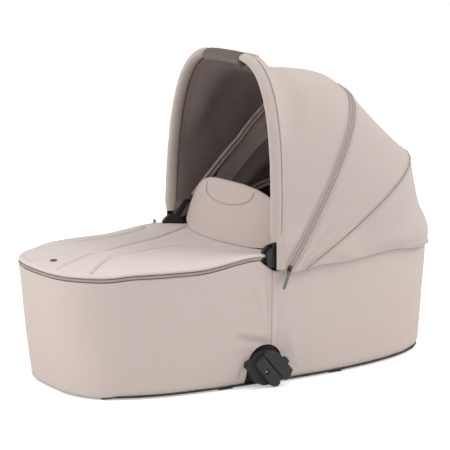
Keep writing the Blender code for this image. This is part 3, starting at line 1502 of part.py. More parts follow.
def main():
    """Build the whole carrycot."""
    clear_scene()
    cloth = finish("cover_cloth", (0.62, 0.53, 0.49), 0.9)
    quilted = finish("apron_cloth", (0.69, 0.61, 0.58), 0.85)
    lining = finish("lining_cloth", (0.20, 0.16, 0.15), 0.9)
    mesh = finish("mesh_cloth", (0.02, 0.02, 0.02), 0.8)
    liner_cloth = finish("liner_cloth", (0.60, 0.56, 0.53), 0.9)
    ticking = finish("mattress_cloth", (0.75, 0.73, 0.71), 0.9)
    tape = finish("zip_tape", (0.42, 0.36, 0.36), 0.8)
    black = finish("black_plastic", (0.02, 0.02, 0.02), 0.45)
    rubber = finish("foot_rubber", (0.015, 0.015, 0.015), 0.8)
    alloy = finish("alloy_tube", (0.60, 0.60, 0.61), 0.35, 1.0)
    steel = finish("steel", (0.55, 0.55, 0.56), 0.3, 1.0)
    leather = finish("grip_leather", (0.12, 0.09, 0.08), 0.5)
    stud = finish("stud_metal", (0.10, 0.09, 0.08), 0.35, 0.6)

    base_pan(black)
    rim_tube(alloy)
    end_stay("foot_stay", math.pi, steel)
    end_stay("head_stay", 0.0, steel)
    cover_panel("cover_foot_panel", False, cloth)
    cover_panel("cover_head_panel", True, cloth)
    liner(liner_cloth)
    mattress(ticking)
    apron(quilted)
    apron_tape(tape)
    press_stud(stud)
    apron_seat = apron_slider_place()
    slider("apron_zip_slider", 1, APRON_ZIP, apron_seat, black)
    pull("apron_zip_pull", 1, APRON_ZIP, apron_seat, steel, pivot("apron_pull_axis", tab_axis(apron_seat)))
    wind_flap(cloth, pivot("wind_flap_axis", flap_hinge()))

    axes = {bow.name: pivot(f"{bow.name}_bow_axis", Vector((HUB_X, 0, HUB_Z))) for bow in BOWS}
    tubes = {"front": alloy, "middle": steel, "rear": steel}
    for bow in BOWS:
        bow_tube(bow, tubes[bow.name], axes[bow.name])
    carry_grip(leather, axes["front"])
    inner_sleeve(MIDDLE_BOW, lining, axes["middle"])
    inner_sleeve(REAR_BOW, lining, axes["rear"])
    hood_cloth(cloth, lining, mesh, tape, axes)

    hood_seat = hood_slider_place()
    for word, side in SIDES.items():
        mirror = Vector((1, side, 1))
        foot(f"foot_pad_rear_{word}", 1, side, rubber)
        foot(f"foot_pad_front_{word}", -1, side, rubber)
        upright(f"side_upright_{word}", side, black)
        hub(f"hub_housing_{word}", side, black)
        hub_pin(f"hub_pin_{word}", side, steel)
        adaptor_screw(f"adaptor_screw_{word}", side, steel)
        for bow in BOWS:
            bow_arm(bow, f"{bow.name}_bow_arm_{word}", side, black, axes[bow.name])
        slider(f"hood_zip_slider_{word}", side, HOOD_ZIP, hood_seat, black, axes["middle"])
        pull_axis = pivot(f"hood_pull_axis_{word}", tab_axis(hood_seat) * mirror)
        pull(f"hood_zip_pull_{word}", side, HOOD_ZIP, hood_seat, steel, pull_axis)
        front_sleeve(f"front_bow_sleeve_{word}", side, cloth, axes["front"])
        adaptor(f"adaptor_{word}", side, black)
        x, z = adaptor_xz(LATCH_CENTRE, SLAB_HIGH)
        latch_axis = pivot(f"latch_axis_{word}", Vector((x, side * (LATCH_LOW_Y + LATCH_HIGH_Y) / 2, z)))
        latch(f"adaptor_latch_{word}", side, black, latch_axis)
    bpy.context.view_layer.update()


if __name__ == "__main__":
    main()
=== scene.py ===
"""Carrycot with a folding hood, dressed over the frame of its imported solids.

Lengths are in metres. The foot end points to -X, the head end to +X and the near side to -Y.
"""
import logging
import math
from dataclasses import dataclass, field, replace
from enum import Enum
from typing import Any, Callable, Iterable, Optional, Sequence

import bmesh
import bpy
from mathutils import Matrix, Vector, noise
from mathutils.kdtree import KDTree


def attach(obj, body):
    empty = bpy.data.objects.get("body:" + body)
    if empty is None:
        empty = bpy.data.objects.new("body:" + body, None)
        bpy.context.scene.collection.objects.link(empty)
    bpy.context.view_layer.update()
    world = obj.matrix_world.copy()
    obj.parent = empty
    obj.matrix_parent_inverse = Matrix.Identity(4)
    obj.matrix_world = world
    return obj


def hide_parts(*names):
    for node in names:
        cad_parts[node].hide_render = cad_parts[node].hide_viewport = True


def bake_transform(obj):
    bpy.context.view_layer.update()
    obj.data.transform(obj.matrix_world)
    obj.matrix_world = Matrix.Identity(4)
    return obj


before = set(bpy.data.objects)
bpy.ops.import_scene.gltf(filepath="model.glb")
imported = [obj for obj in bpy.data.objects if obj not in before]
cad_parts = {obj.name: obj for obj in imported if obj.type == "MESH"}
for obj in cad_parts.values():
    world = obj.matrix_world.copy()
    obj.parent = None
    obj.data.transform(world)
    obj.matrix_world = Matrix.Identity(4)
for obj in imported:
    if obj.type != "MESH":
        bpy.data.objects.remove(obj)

log = logging.getLogger("carrycot")
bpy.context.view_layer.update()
Colour = tuple[float, float, float]
Place = Callable[[int, int], Vector]
WEAVE = "Weave"
SIDES = {"near": -1.0, "far": 1.0}


# Small sums

def smooth(t: float) -> float:
    """Ease from 0 to 1."""
    t = min(max(t, 0.0), 1.0)
    return t * t * (3 - 2 * t)


def hump(distance: float, half_width: float) -> float:
    """A soft ridge's height share at a distance from its line."""
    return math.exp(-(distance / half_width) ** 2)


def linear(red: int, green: int, blue: int) -> Colour:
    """A screen colour as the linear one that shaders take.

    Args:
        red: Red from 0 to 255.
        green: Green from 0 to 255.
        blue: Blue from 0 to 255.

    Returns:
        The linear colour.
    """
    def one(level: int) -> float:
        """One channel."""
        share = level / 255
        return share / 12.92 if share <= 0.04045 else ((share + 0.055) / 1.055) ** 2.4
    return one(red), one(green), one(blue)


def even(places: Sequence[Vector], count: int) -> list[Vector]:
    """Places at even spacing along a line.

    Args:
        places: The line's points.
        count: How many places to return.

    Returns:
        The evenly spaced places, ends included.
    """
    lengths = [0.0]
    for a, b in zip(places, places[1:]):
        lengths.append(lengths[-1] + (b - a).length)
    result, k = [], 0
    for i in range(count):
        wanted = lengths[-1] * i / (count - 1)
        while k < len(places) - 2 and lengths[k + 1] < wanted:
            k += 1
        share = (wanted - lengths[k]) / max(lengths[k + 1] - lengths[k], 1e-9)
        result.append(places[k].lerp(places[k + 1], min(max(share, 0.0), 1.0)))
    return result


class Track:
    """Lines in a plane that places can be measured from."""

    def __init__(self, *lines: Sequence[Vector], pitch: float = 0.0006) -> None:
        """Sample the lines at a pitch.

        Args:
            pitch: The samples' spacing.
            lines: The lines, of which x and y count.
        """
        places = []
        for line in lines:
            line = [Vector((p[0], p[1], 0)) for p in line]
            total = sum((b - a).length for a, b in zip(line, line[1:]))
            places += even(line, int(total / pitch) + 2)
        self.tree = KDTree(len(places))
        for i, p in enumerate(places):
            self.tree.insert(p, i)
        self.tree.balance()

    def away(self, u: float, v: float) -> float:
        """How far a place lies from the nearest line."""
        return self.tree.find((u, v, 0))[2]


# Shader expressions

class Wire:
    """A shader socket that adds Math nodes where it stands in an expression."""

    def __init__(self, shade: "Shade", socket: Any) -> None:
        """Keep the socket and the tree it belongs to."""
        self.shade = shade
        self.socket = socket

    def __add__(self, other: Any) -> "Wire":
        """Sum."""
        return self.shade.sum("ADD", self, other)

    __radd__ = __add__

    def __sub__(self, other: Any) -> "Wire":
        """Difference."""
        return self.shade.sum("SUBTRACT", self, other)

    def __rsub__(self, other: Any) -> "Wire":
        """Difference from a number."""
        return self.shade.sum("SUBTRACT", other, self)

    def __mul__(self, other: Any) -> "Wire":
        """Product."""
        return self.shade.sum("MULTIPLY", self, other)

    __rmul__ = __mul__

    def __abs__(self) -> "Wire":
        """Size without its sign."""
        return self.shade.sum("ABSOLUTE", self)

    def sine(self) -> "Wire":
        """Sine."""
        return self.shade.sum("SINE", self)

    def ease(self, low: float, high: float) -> "Wire":
        """Ease from 0 at low to 1 at high."""
        return self.shade.node("ShaderNodeMapRange", {0: self, 1: low, 2: high}, interpolation_type="SMOOTHSTEP")


class Shade:
    """A material under way: its shader and the one method that adds any node."""

    def __init__(self, name: str, colour: Colour, roughness: float, **constants: float) -> None:
        """Start a material with its plain constants set on the shader.

        Args:
            name: The material's name.
            colour: Its linear base colour.
            roughness: Its roughness.
            **constants: Other shader sockets by name, with _ for a space.
        """
        self.material = bpy.data.materials.new(name)
        self.material.use_nodes = True
        self.tree = self.material.node_tree
        self.shader = self.tree.nodes["Principled BSDF"]
        self.shader.inputs["Base Color"].default_value = (*colour, 1.0)
        self.shader.inputs["Roughness"].default_value = roughness
        for key, value in constants.items():
            self.shader.inputs[key.replace("_", " ")].default_value = value
        self.material.diffuse_color = (*colour, 1.0)

    def plug(self, slot: Any, value: Any) -> None:
        """Link a wire to a socket, or set a number on it.

        Args:
            slot: The socket to feed.
            value: A wire, or a number or vector to set.
        """
        if isinstance(value, Wire):
            self.tree.links.new(value.socket, slot)
        else:
            slot.default_value = value

    def node(self, kind: str, inputs: Optional[dict] = None, output: Any = 0,
             stops: Sequence[tuple[float, Colour]] = (), **settings: Any) -> Wire:
        """Add a node.

        Args:
            kind: The node's type.
            inputs: Values or wires by socket.
            output: The output to return.
            stops: A ramp's stops.
            **settings: The node's own settings, set first.

        Returns:
            The wire from its output.
        """
        made = self.tree.nodes.new(kind)
        for key, value in settings.items():
            setattr(made, key, value)
        if stops:
            ramp = made.color_ramp.elements
            for i, (place, colour) in enumerate(stops):
                stop = ramp[i] if i < 2 else ramp.new(place)
                stop.position, stop.color = place, (*colour, 1.0)
        for slot, value in (inputs or {}).items():
            self.plug(made.inputs[slot], value)
        return Wire(self, made.outputs[output])

    def sum(self, operation: str, *values: Any) -> Wire:
        """Add a Math node."""
        return self.node("ShaderNodeMath", dict(enumerate(values)), operation=operation)

    def mix(self, share: Any, first: Any, second: Any, blend: str = "MIX") -> Wire:
        """Mix two colours."""
        first, second = ((*c, 1.0) if isinstance(c, tuple) and len(c) == 3 else c for c in (first, second))
        return self.node("ShaderNodeMix", {0: share, 6: first, 7: second}, 2, data_type="RGBA", blend_type=blend)

    def place(self) -> Wire:
        """Object coordinates."""
        return self.node("ShaderNodeTexCoord", output="Object")

    def weave(self) -> tuple[Wire, Wire]:
        """The cloth's own coordinates, in metres along and across."""
        pair = self.node("ShaderNodeUVMap", uv_map=WEAVE)
        return tuple(self.node("ShaderNodeSeparateXYZ", {0: pair}, i) for i in range(2))

    def cloud(self, scale: float, detail: float = 2.0, at: Optional[Wire] = None) -> Wire:
        """Noise from 0 to 1."""
        return self.node("ShaderNodeTexNoise", {"Vector": at or self.place(), "Scale": scale, "Detail": detail})

    def feed(self, **wires: Wire) -> None:
        """Link wires to the shader's sockets."""
        for key, wire in wires.items():
            self.plug(self.shader.inputs[key.replace("_", " ")], wire)

    def relief(self, *layers: tuple[Any, float]) -> None:
        """Feed bump layers, each a height and its depth in metres, to the shader's normal.

        Args:
            layers: Each layer's height and its depth in metres.
        """
        normal = None
        for height, depth in layers:
            inputs = {"Height": height, "Distance": depth, "Strength": 1.0}
            if normal:
                inputs["Normal"] = normal
            normal = self.node("ShaderNodeBump", inputs)
        self.feed(Normal=normal)


# Finishes

@dataclass(frozen=True)
class Finish:
    """A surface's name, colour and roughness."""
    name: str
    colour: Colour
    roughness: float = 0.8

    def dress(self) -> bpy.types.Material:
        """The finish's material, made once."""
        return bpy.data.materials.get(self.name) or self.make().material

    def make(self) -> Shade:
        """Make the material."""
        raise NotImplementedError

    def shades(self, dark: float, light: float) -> tuple[Colour, Colour]:
        """The colour darkened and lightened."""
        return tuple(tuple(min(c * k, 1.0) for c in self.colour) for k in (dark, light))


@dataclass(frozen=True)
class Cloth(Finish):
    """Woven cloth with threads, a soft nap, gentle creases and uneven dye; where a second colour is given, it is
    painted past a line across the cloth as painted shade.
    """
    thread: float = 0.00075
    thread_depth: float = 0.00010
    crease_depth: float = 0.0011
    crease_scale: float = 16.0
    uneven: float = 0.05
    sheen: float = 0.18
    rib: float = 0.0
    # The second colour, painted past a line across the cloth, is painted shade beyond a fold.
    second: Optional[Colour] = None
    painted_shade_from: float = 0.0

    def make(self) -> Shade:
        """Make the material.

        Returns:
            The shade with its nodes linked.
        """
        shade = Shade(self.name, self.colour, self.roughness, Sheen_Weight=self.sheen, Sheen_Roughness=0.6,
                      Specular_IOR_Level=0.25)
        along, across = shade.weave()
        turn = 2 * math.pi / self.thread
        threads = (along * turn).sine() * (across * turn).sine()
        slub = shade.cloud(420.0, 3.0)
        dye = shade.cloud(9.0, 3.0)
        low, high = self.shades(1 - self.uneven, 1 + self.uneven)
        body = shade.mix(dye, low, high)
        # Painted shade: past the line across, the cloth takes the darker second colour.
        if self.second:
            low, high = (tuple(c * k for c in self.second) for k in (1 - self.uneven, 1 + self.uneven))
            body = shade.mix((across + (dye - 0.5) * 0.004).ease(self.painted_shade_from - 0.001, self.painted_shade_from + 0.001),
                             body, shade.mix(dye, low, high))
        fleck = 0.97 + threads * 0.03 + (slub - 0.5) * 0.10
        tint = shade.node("ShaderNodeCombineColor", {0: fleck, 1: fleck, 2: fleck})
        shade.feed(Base_Color=shade.mix(1.0, body, tint, "MULTIPLY"),
                   Roughness=self.roughness + (slub - 0.5) * 0.12)
        layers = [(shade.cloud(self.crease_scale, 2.5), self.crease_depth), (slub, 0.00012),
                  (threads, self.thread_depth)]
        if self.rib:
            layers.insert(0, ((along * (2 * math.pi / self.rib)).sine(), 0.00022))
        shade.relief(*layers)
        return shade


@dataclass(frozen=True)
class Netting(Finish):
    """Black netting: open cells between knitted threads."""
    cell: float = 0.0026

    def make(self) -> Shade:
        """Make the material.

        Returns:
            The shade with its nodes linked.
        """
        shade = Shade(self.name, self.colour, self.roughness, Sheen_Weight=0.1)
        along, across = shade.weave()
        turn = math.pi / self.cell
        open_share = abs((along * turn).sine()) * abs((across * turn).sine())
        thread = 1 - open_share.ease(0.42, 0.60)
        low, high = self.shades(0.7, 1.6)
        shade.feed(Base_Color=shade.mix(shade.cloud(60.0), low, high), Alpha=thread * 0.30 + 0.70)
        shade.relief((thread, 0.0002))
        return shade


@dataclass(frozen=True)
class ZipBand(Finish):
    """Zip tape: fine herringbone and a darker edge to the teeth."""
    half_width: float = 0.0055

    def make(self) -> Shade:
        """Make the material.

        Returns:
            The shade with its nodes linked.
        """
        shade = Shade(self.name, self.colour, self.roughness, Sheen_Weight=0.1, Specular_IOR_Level=0.3)
        along, across = shade.weave()
        middle = abs(across - self.half_width)
        slant = (along * 5200.0 + middle * 5200.0).sine()
        low, high = self.shades(0.86, 1.08)
        body = shade.mix(slant * 0.5 + 0.5, low, high)
        shade.feed(Base_Color=shade.mix(1 - middle.ease(0.0012, 0.0022), body, self.shades(0.82, 1.0)[0]))
        shade.relief((slant, 0.00012), (shade.cloud(300.0), 0.0001))
        return shade


@dataclass(frozen=True)
class Moulded(Finish):
    """Moulded plastic or rubber with a fine grain, flow marks and rubbed patches."""
    grain: float = 900.0
    grain_depth: float = 0.00006
    rubbed: float = 0.25

    def make(self) -> Shade:
        """Make the material.

        Returns:
            The shade with its nodes linked.
        """
        shade = Shade(self.name, self.colour, self.roughness, Specular_IOR_Level=0.45)
        grain = shade.cloud(self.grain, 2.0)
        patches = shade.cloud(38.0, 4.0)
        low, high = self.shades(0.85, 1.25)
        dust = shade.cloud(140.0, 5.0).ease(0.56, 0.78)
        body = shade.mix(patches, low, high)
        shade.feed(Base_Color=shade.mix(dust * 0.16, body, (0.16, 0.155, 0.15)),
                   Roughness=self.roughness + (patches - 0.5) * self.rubbed)
        shade.relief((shade.cloud(22.0, 1.0), 0.0004), (grain, self.grain_depth))
        return shade


@dataclass(frozen=True)
class Metal(Finish):
    """Drawn or stamped metal with fine scratches along it."""
    stretch: tuple[float, float, float] = (30.0, 900.0, 30.0)

    def make(self) -> Shade:
        """Make the material.

        Returns:
            The shade with its nodes linked.
        """
        shade = Shade(self.name, self.colour, self.roughness, Metallic=1.0)
        lines = shade.node("ShaderNodeMapping", {"Vector": shade.place(), "Scale": self.stretch})
        scratch = shade.cloud(1.0, 3.0, lines)
        low, high = self.shades(0.82, 1.12)
        shade.feed(Base_Color=shade.mix(shade.cloud(45.0), low, high),
                   Roughness=self.roughness + (scratch - 0.5) * 0.22)
        shade.relief((scratch, 0.00003))
        return shade


@dataclass(frozen=True)
class Leather(Finish):
    """Grained leather-like cloth for the grip, with pores and patches of wear."""

    def make(self) -> Shade:
        """Make the material.

        Returns:
            The shade with its nodes linked.
        """
        shade = Shade(self.name, self.colour, self.roughness, Specular_IOR_Level=0.4)
        cells = shade.node("ShaderNodeTexVoronoi", {"Vector": shade.place(), "Scale": 520.0}, "Distance",
                           feature="DISTANCE_TO_EDGE")
        pebble = cells.ease(0.0, 0.14)
        wear = shade.cloud(24.0, 4.0)
        low, high = self.shades(0.80, 1.12)
        shade.feed(Base_Color=shade.mix(pebble * 0.6 + wear * 0.4, low, high),
                   Roughness=self.roughness - 0.10 + wear * 0.2)
        shade.relief((shade.cloud(60.0, 2.0), 0.0003), (pebble, 0.00016))
        return shade


class Palette(Enum):
    """The finishes of this carrycot."""
    COVER = Cloth("cover_cloth", linear(212, 197, 190), 0.88)
    HOOD = Cloth("hood_cloth", linear(214, 199, 192), 0.88, crease_depth=0.0008, crease_scale=12.0)
    APRON = Cloth("apron_cloth", linear(218, 205, 199), 0.82, crease_depth=0.0006, rib=0.0030)
    FLAP = Cloth("flap_cloth", linear(200, 185, 178), 0.82, crease_depth=0.0005, crease_scale=22.0)
    LINING = Cloth("lining_cloth", linear(208, 193, 187), 0.9, crease_depth=0.0022, crease_scale=20.0, uneven=0.08)
    # The middle lining's darker second colour, from 62 mm across, is painted shade beyond its gathered fold.
    LINING_WITH_PAINTED_SHADE = Cloth("middle_lining_cloth", linear(196, 181, 175), 0.9, crease_depth=0.0022, crease_scale=20.0,
                         uneven=0.08, second=linear(128, 113, 109), painted_shade_from=0.062)
    SLEEVE = Cloth("sleeve_cloth", linear(205, 190, 183), 0.86, crease_depth=0.0012, crease_scale=38.0)
    BAND = Cloth("band_cloth", linear(192, 176, 170), 0.88, crease_depth=0.0010, crease_scale=40.0)
    LINER = Cloth("liner_cloth", linear(206, 198, 192), 0.9, crease_depth=0.0016, crease_scale=14.0)
    TICKING = Cloth("mattress_cloth", linear(222, 219, 214), 0.9, thread=0.0012, thread_depth=0.0002,
                    crease_depth=0.0012)
    MESH = Netting("mesh_cloth", (0.006, 0.006, 0.006), 0.75)
    TAPE = ZipBand("zip_tape", linear(230, 216, 209), 0.75)
    APRON_TAPE = ZipBand("apron_zip_band", linear(196, 182, 176), 0.75, 0.0024)
    COIL = Moulded("zip_coil", linear(176, 163, 157), 0.45, rubbed=0.1)
    PIPING = Cloth("piping_cloth", linear(212, 198, 191), 0.84, crease_depth=0.0003)
    BINDING = Cloth("black_binding", (0.010, 0.010, 0.010), 0.8, sheen=0.05)
    # Thread darker than the cloth: real stitching, and along the apron's channels also painted shade in the sewn
    # groove.
    THREAD_AND_SHADE = Moulded("seam_thread_and_shade", linear(176, 162, 155), 0.7, rubbed=0.05)
    # A dark cord colour: painted shade of the rear seam's groove.
    SEAM_PAINTED_SHADE = Moulded("seam_painted_shade", linear(150, 137, 131), 0.8, rubbed=0.05)
    GUNMETAL = Metal("zip_metal", (0.14, 0.14, 0.14), 0.25)
    PLASTIC = Moulded("black_plastic", (0.028, 0.028, 0.027), 0.48)
    HUB = Moulded("hub_plastic", (0.018, 0.017, 0.015), 0.42)
    RUBBER = Moulded("foot_rubber", (0.020, 0.020, 0.020), 0.8, grain=600.0)
    TUBE = Metal("alloy_tube", (0.62, 0.62, 0.63), 0.32)
    STEEL = Metal("steel", (0.50, 0.49, 0.48), 0.30)
    STUD = Metal("stud_metal", (0.075, 0.065, 0.060), 0.38)
    GRIP = Leather("grip_leather", linear(142, 131, 129), 0.55)

    def dress(self) -> bpy.types.Material:
        """The finish's material."""
        return self.value.dress()


# Mesh making

class Bench:
    """Makes meshes from grids whose points are put in place, and turns them into pieces."""

    @staticmethod
    def grid(columns: int, rows: int, place: Place, wrap_columns: bool = False, wrap_rows: bool = False,
             flip: bool = False) -> bmesh.types.BMesh:
        """A grid laid over a surface, with the cloth's own coordinates in metres.

        Args:
            columns: Its faces along.
            rows: Its faces across.
            place: Where each crossing of a column and a row goes.
            wrap_columns: Whether its ends along meet.
            wrap_rows: Whether its ends across meet.
            flip: Whether its faces are turned over.

        Returns:
            The mesh under way.
        """
        bm = bmesh.new()
        layer = bm.loops.layers.uv.new(WEAVE)
        bmesh.ops.create_grid(bm, x_segments=columns, y_segments=rows, size=0.5)
        spots = {v: (round((v.co.x + 0.5) * columns), round((v.co.y + 0.5) * rows)) for v in bm.verts}
        where = {spot: place(*spot) for spot in spots.values()}
        wide = sum((where[i, rows // 2] - where[i + 1, rows // 2]).length for i in range(columns))
        tall = sum((where[columns // 2, j] - where[columns // 2, j + 1]).length for j in range(rows))
        for face in bm.faces:
            for loop in face.loops:
                i, j = spots[loop.vert]
                loop[layer].uv = (wide * i / columns, tall * j / rows)
        for vert, spot in spots.items():
            vert.co = where[spot]
        if wrap_columns or wrap_rows:
            bmesh.ops.remove_doubles(bm, verts=bm.verts, dist=1e-6)
        if flip:
            bmesh.ops.reverse_faces(bm, faces=bm.faces)
        return bm

    @staticmethod
    def rod(path: Sequence[Vector], aside: Any, section: Callable[[float, float], tuple[float, float]],
            sides: int = 10, closed: bool = False) -> bmesh.types.BMesh:
        """A rod along a path.

        Args:
            path: The points of its middle.
            aside: A direction that the section's first size follows, or one for each point.
            section: Two sizes, along aside and square to it, at a share of the path and an angle round it.
            sides: Its faces round.
            closed: Whether the path is a ring.

        Returns:
            The mesh under way, its ends filled.
        """
        count = len(path)
        frames = []
        for i, p in enumerate(path):
            ahead = (path[(i + 1) % count] - path[i - 1]) if closed else \
                (path[min(i + 1, count - 1)] - path[max(i - 1, 0)])
            ahead.normalize()
            first = aside[i] if isinstance(aside, list) else aside
            first = (first - ahead * first.dot(ahead)).normalized()
            frames.append((p, first, ahead.cross(first)))

        def place(i: int, j: int) -> Vector:
            """A point on the rod.

            Args:
                i: The ring's number along the rod.
                j: The corner's number round it.

            Returns:
                The corner's place.
            """
            p, first, second = frames[i % count]
            a, b = section(i / max(count - 1, 1), 2 * math.pi * j / sides)
            return p + first * a + second * b
        bm = Bench.grid(count if closed else count - 1, sides, place, closed, True)
        if not closed:
            bmesh.ops.holes_fill(bm, edges=[e for e in bm.edges if e.is_boundary], sides=0)
        bmesh.ops.recalc_face_normals(bm, faces=bm.faces)
        return bm

    @staticmethod
    def cord(path: Sequence[Vector], radius: float, sides: int = 6, closed: bool = False,
             aside: Vector = Vector((0.13, 0.21, 0.97))) -> bmesh.types.BMesh:
        """A round cord along a path."""
        return Bench.rod(path, aside, lambda s, t: (radius * math.cos(t), radius * math.sin(t)), sides, closed)

    @staticmethod
    def coil(path: Sequence[Vector], aside: Vector, sizes: tuple[float, float], ribs: tuple[float, float]
             ) -> bmesh.types.BMesh:
        """A zip's closed coil as a rod with a rib at every other point.

        Args:
            path: The points of its middle.
            aside: The direction of its width.
            sizes: Its half width and half height.
            ribs: How far each rib adds to them.

        Returns:
            The mesh under way.
        """
        spaces = len(path) - 1

        def section(s: float, t: float) -> tuple[float, float]:
            """The coil's section at a share of its length."""
            swell = math.sin(s * spaces * math.pi / 2)
            return (sizes[0] + ribs[0] * swell) * math.cos(t), (sizes[1] + ribs[1] * swell) * math.sin(t)
        return Bench.rod(path, aside, section, 6)

    @staticmethod
    def stitches(path: Sequence[Vector], pitch: float = 0.0042, radius: float = 0.00032,
                 aside: Vector = Vector((0.13, 0.21, 0.97))) -> bmesh.types.BMesh:
        """A row of stitches along a path.

        Args:
            path: The seam's line.
            pitch: The distance from stitch to stitch.
            radius: The thread's radius.
            aside: A direction off the path.

        Returns:
            The mesh under way.
        """
        total = sum((b - a).length for a, b in zip(path, path[1:]))
        count = max(int(total / pitch), 2)
        fine = even(path, count * 3 + 1)
        whole = bmesh.new()
        for i in range(count):
            first, last = fine[3 * i], fine[3 * i + 2]
            run = last - first
            frame_z = run.normalized()
            frame_x = (aside - frame_z * aside.dot(frame_z)).normalized()
            turn = Matrix((frame_x, frame_z.cross(frame_x), frame_z)).transposed().to_4x4()
            turn.translation = (first + last) / 2
            bmesh.ops.create_cone(whole, cap_ends=True, segments=5, radius1=radius, radius2=radius,
                                  depth=run.length * 0.92, matrix=turn)
        return whole

    @staticmethod
    def inflate(piece: bpy.types.Object, pinned: Callable[[Vector], bool], pressure: float, cap: float,
                stiffness: float = 12.0, frames: int = 18) -> None:
        """Swell a closed piece with air pressure as stuffed cloth, and keep the result in its mesh.

        Args:
            piece: The closed piece, with no modifiers.
            pinned: Whether a point is sewn down and stays.
            pressure: The air pressure.
            cap: The furthest that a point may move.
            stiffness: How hard the cloth resists stretch.
            frames: How long it settles.
        """
        rest = [v.co.copy() for v in piece.data.vertices]
        group = piece.vertex_groups.new(name="sewn")
        group.add([v.index for v in piece.data.vertices if pinned(v.co)], 1.0, "REPLACE")
        cloth = piece.modifiers.new("Cloth", "CLOTH")
        settings = cloth.settings
        settings.quality = 4
        settings.mass = 0.25
        settings.tension_stiffness = settings.compression_stiffness = stiffness
        settings.shear_stiffness = stiffness / 2
        settings.bending_stiffness = 0.4
        settings.air_damping = 3.0
        settings.use_pressure = True
        settings.uniform_pressure_force = pressure
        settings.effector_weights.gravity = 0.0
        settings.vertex_group_mass = "sewn"
        cloth.collision_settings.use_collision = False
        scene = bpy.context.scene
        cloth.point_cache.frame_start, cloth.point_cache.frame_end = 1, frames
        for number in range(1, frames + 1):
            scene.frame_set(number)
        graph = bpy.context.evaluated_depsgraph_get()
        swollen = piece.evaluated_get(graph).to_mesh()
        ends = [v.co.copy() for v in swollen.vertices]
        piece.evaluated_get(graph).to_mesh_clear()
        piece.modifiers.remove(cloth)
        piece.vertex_groups.remove(group)
        scene.frame_set(1)
        furthest = 0.0
        for vert, start, end in zip(piece.data.vertices, rest, ends):
            move = end - start
            furthest = max(furthest, move.length)
            if move.length > cap:
                move *= cap / move.length
            vert.co = start + move
        piece.data.update()
        log.info("%s swelled by up to %.1f mm, kept to %.1f mm", piece.name, furthest * 1000, cap * 1000)

    @staticmethod
    def piece(name: str, bm: bmesh.types.BMesh, finish: Palette, body: Optional[str], slot: str,
              replaces: Iterable[str] = (), thickness: float = 0.0, offset: float = -1.0,
              levels: int = 0) -> bpy.types.Object:
        """Turn a mesh under way into a piece.

        Args:
            name: The piece's name.
            bm: Its mesh, which is freed.
            finish: Its finish.
            body: The body it rides on, or None to leave it unattached.
            slot: Not used.
            replaces: The nodes it stands for.
            thickness: A wall to give it.
            offset: On which side of the sheet the wall goes.
            levels: Subdivision levels.

        Returns:
            The piece.
        """
        for face in bm.faces:
            face.smooth = True
        mesh = bpy.data.meshes.new(name)
        bm.to_mesh(mesh)
        bm.free()
        made = bpy.data.objects.new(name, mesh)
        bpy.context.scene.collection.objects.link(made)
        mesh.materials.append(finish.dress())
        if thickness:
            wall = made.modifiers.new("Wall", "SOLIDIFY")
            wall.thickness, wall.offset, wall.use_even_offset = thickness, offset, False
        if levels:
            fine = made.modifiers.new("Fine", "SUBSURF")
            fine.levels = fine.render_levels = levels
        if replaces:
            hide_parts(*replaces)
        if body:
            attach(made, body)
        log.info("%s: %d faces", name, len(mesh.polygons))
        return made

    @staticmethod
    def cloth(made: bpy.types.Object, held: str, rests_on: Sequence[str]) -> None:
        """Work out the size of a piece's one layer, grown to match its area; the size is not kept.

        Args:
            made: The piece.
            held: Not used.
            rests_on: Not used.
        """
        area = sum(p.area for p in made.data.polygons)
        layer = made.data.uv_layers[WEAVE].data
        wide = max(c.uv[0] for c in layer)
        tall = max(c.uv[1] for c in layer)
        grow = max(1.0, area / (wide * tall)) ** 0.5 * 1.001
        wide * grow
        max(tall * grow, 0.0102)

    @staticmethod
    def bend(made: bpy.types.Object, a: str, b: str, share: Callable[[Vector], float]) -> None:
        """Bake a piece's place into its mesh and work out each point's share between two bodies; the shares are not
        kept.

        Args:
            made: The piece.
            a: Not used.
            b: Not used.
            share: Each point's share.
        """
        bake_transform(made)
        values = [min(max(share(v.co), 0.0), 1.0) for v in made.data.vertices]


# The tub's shape

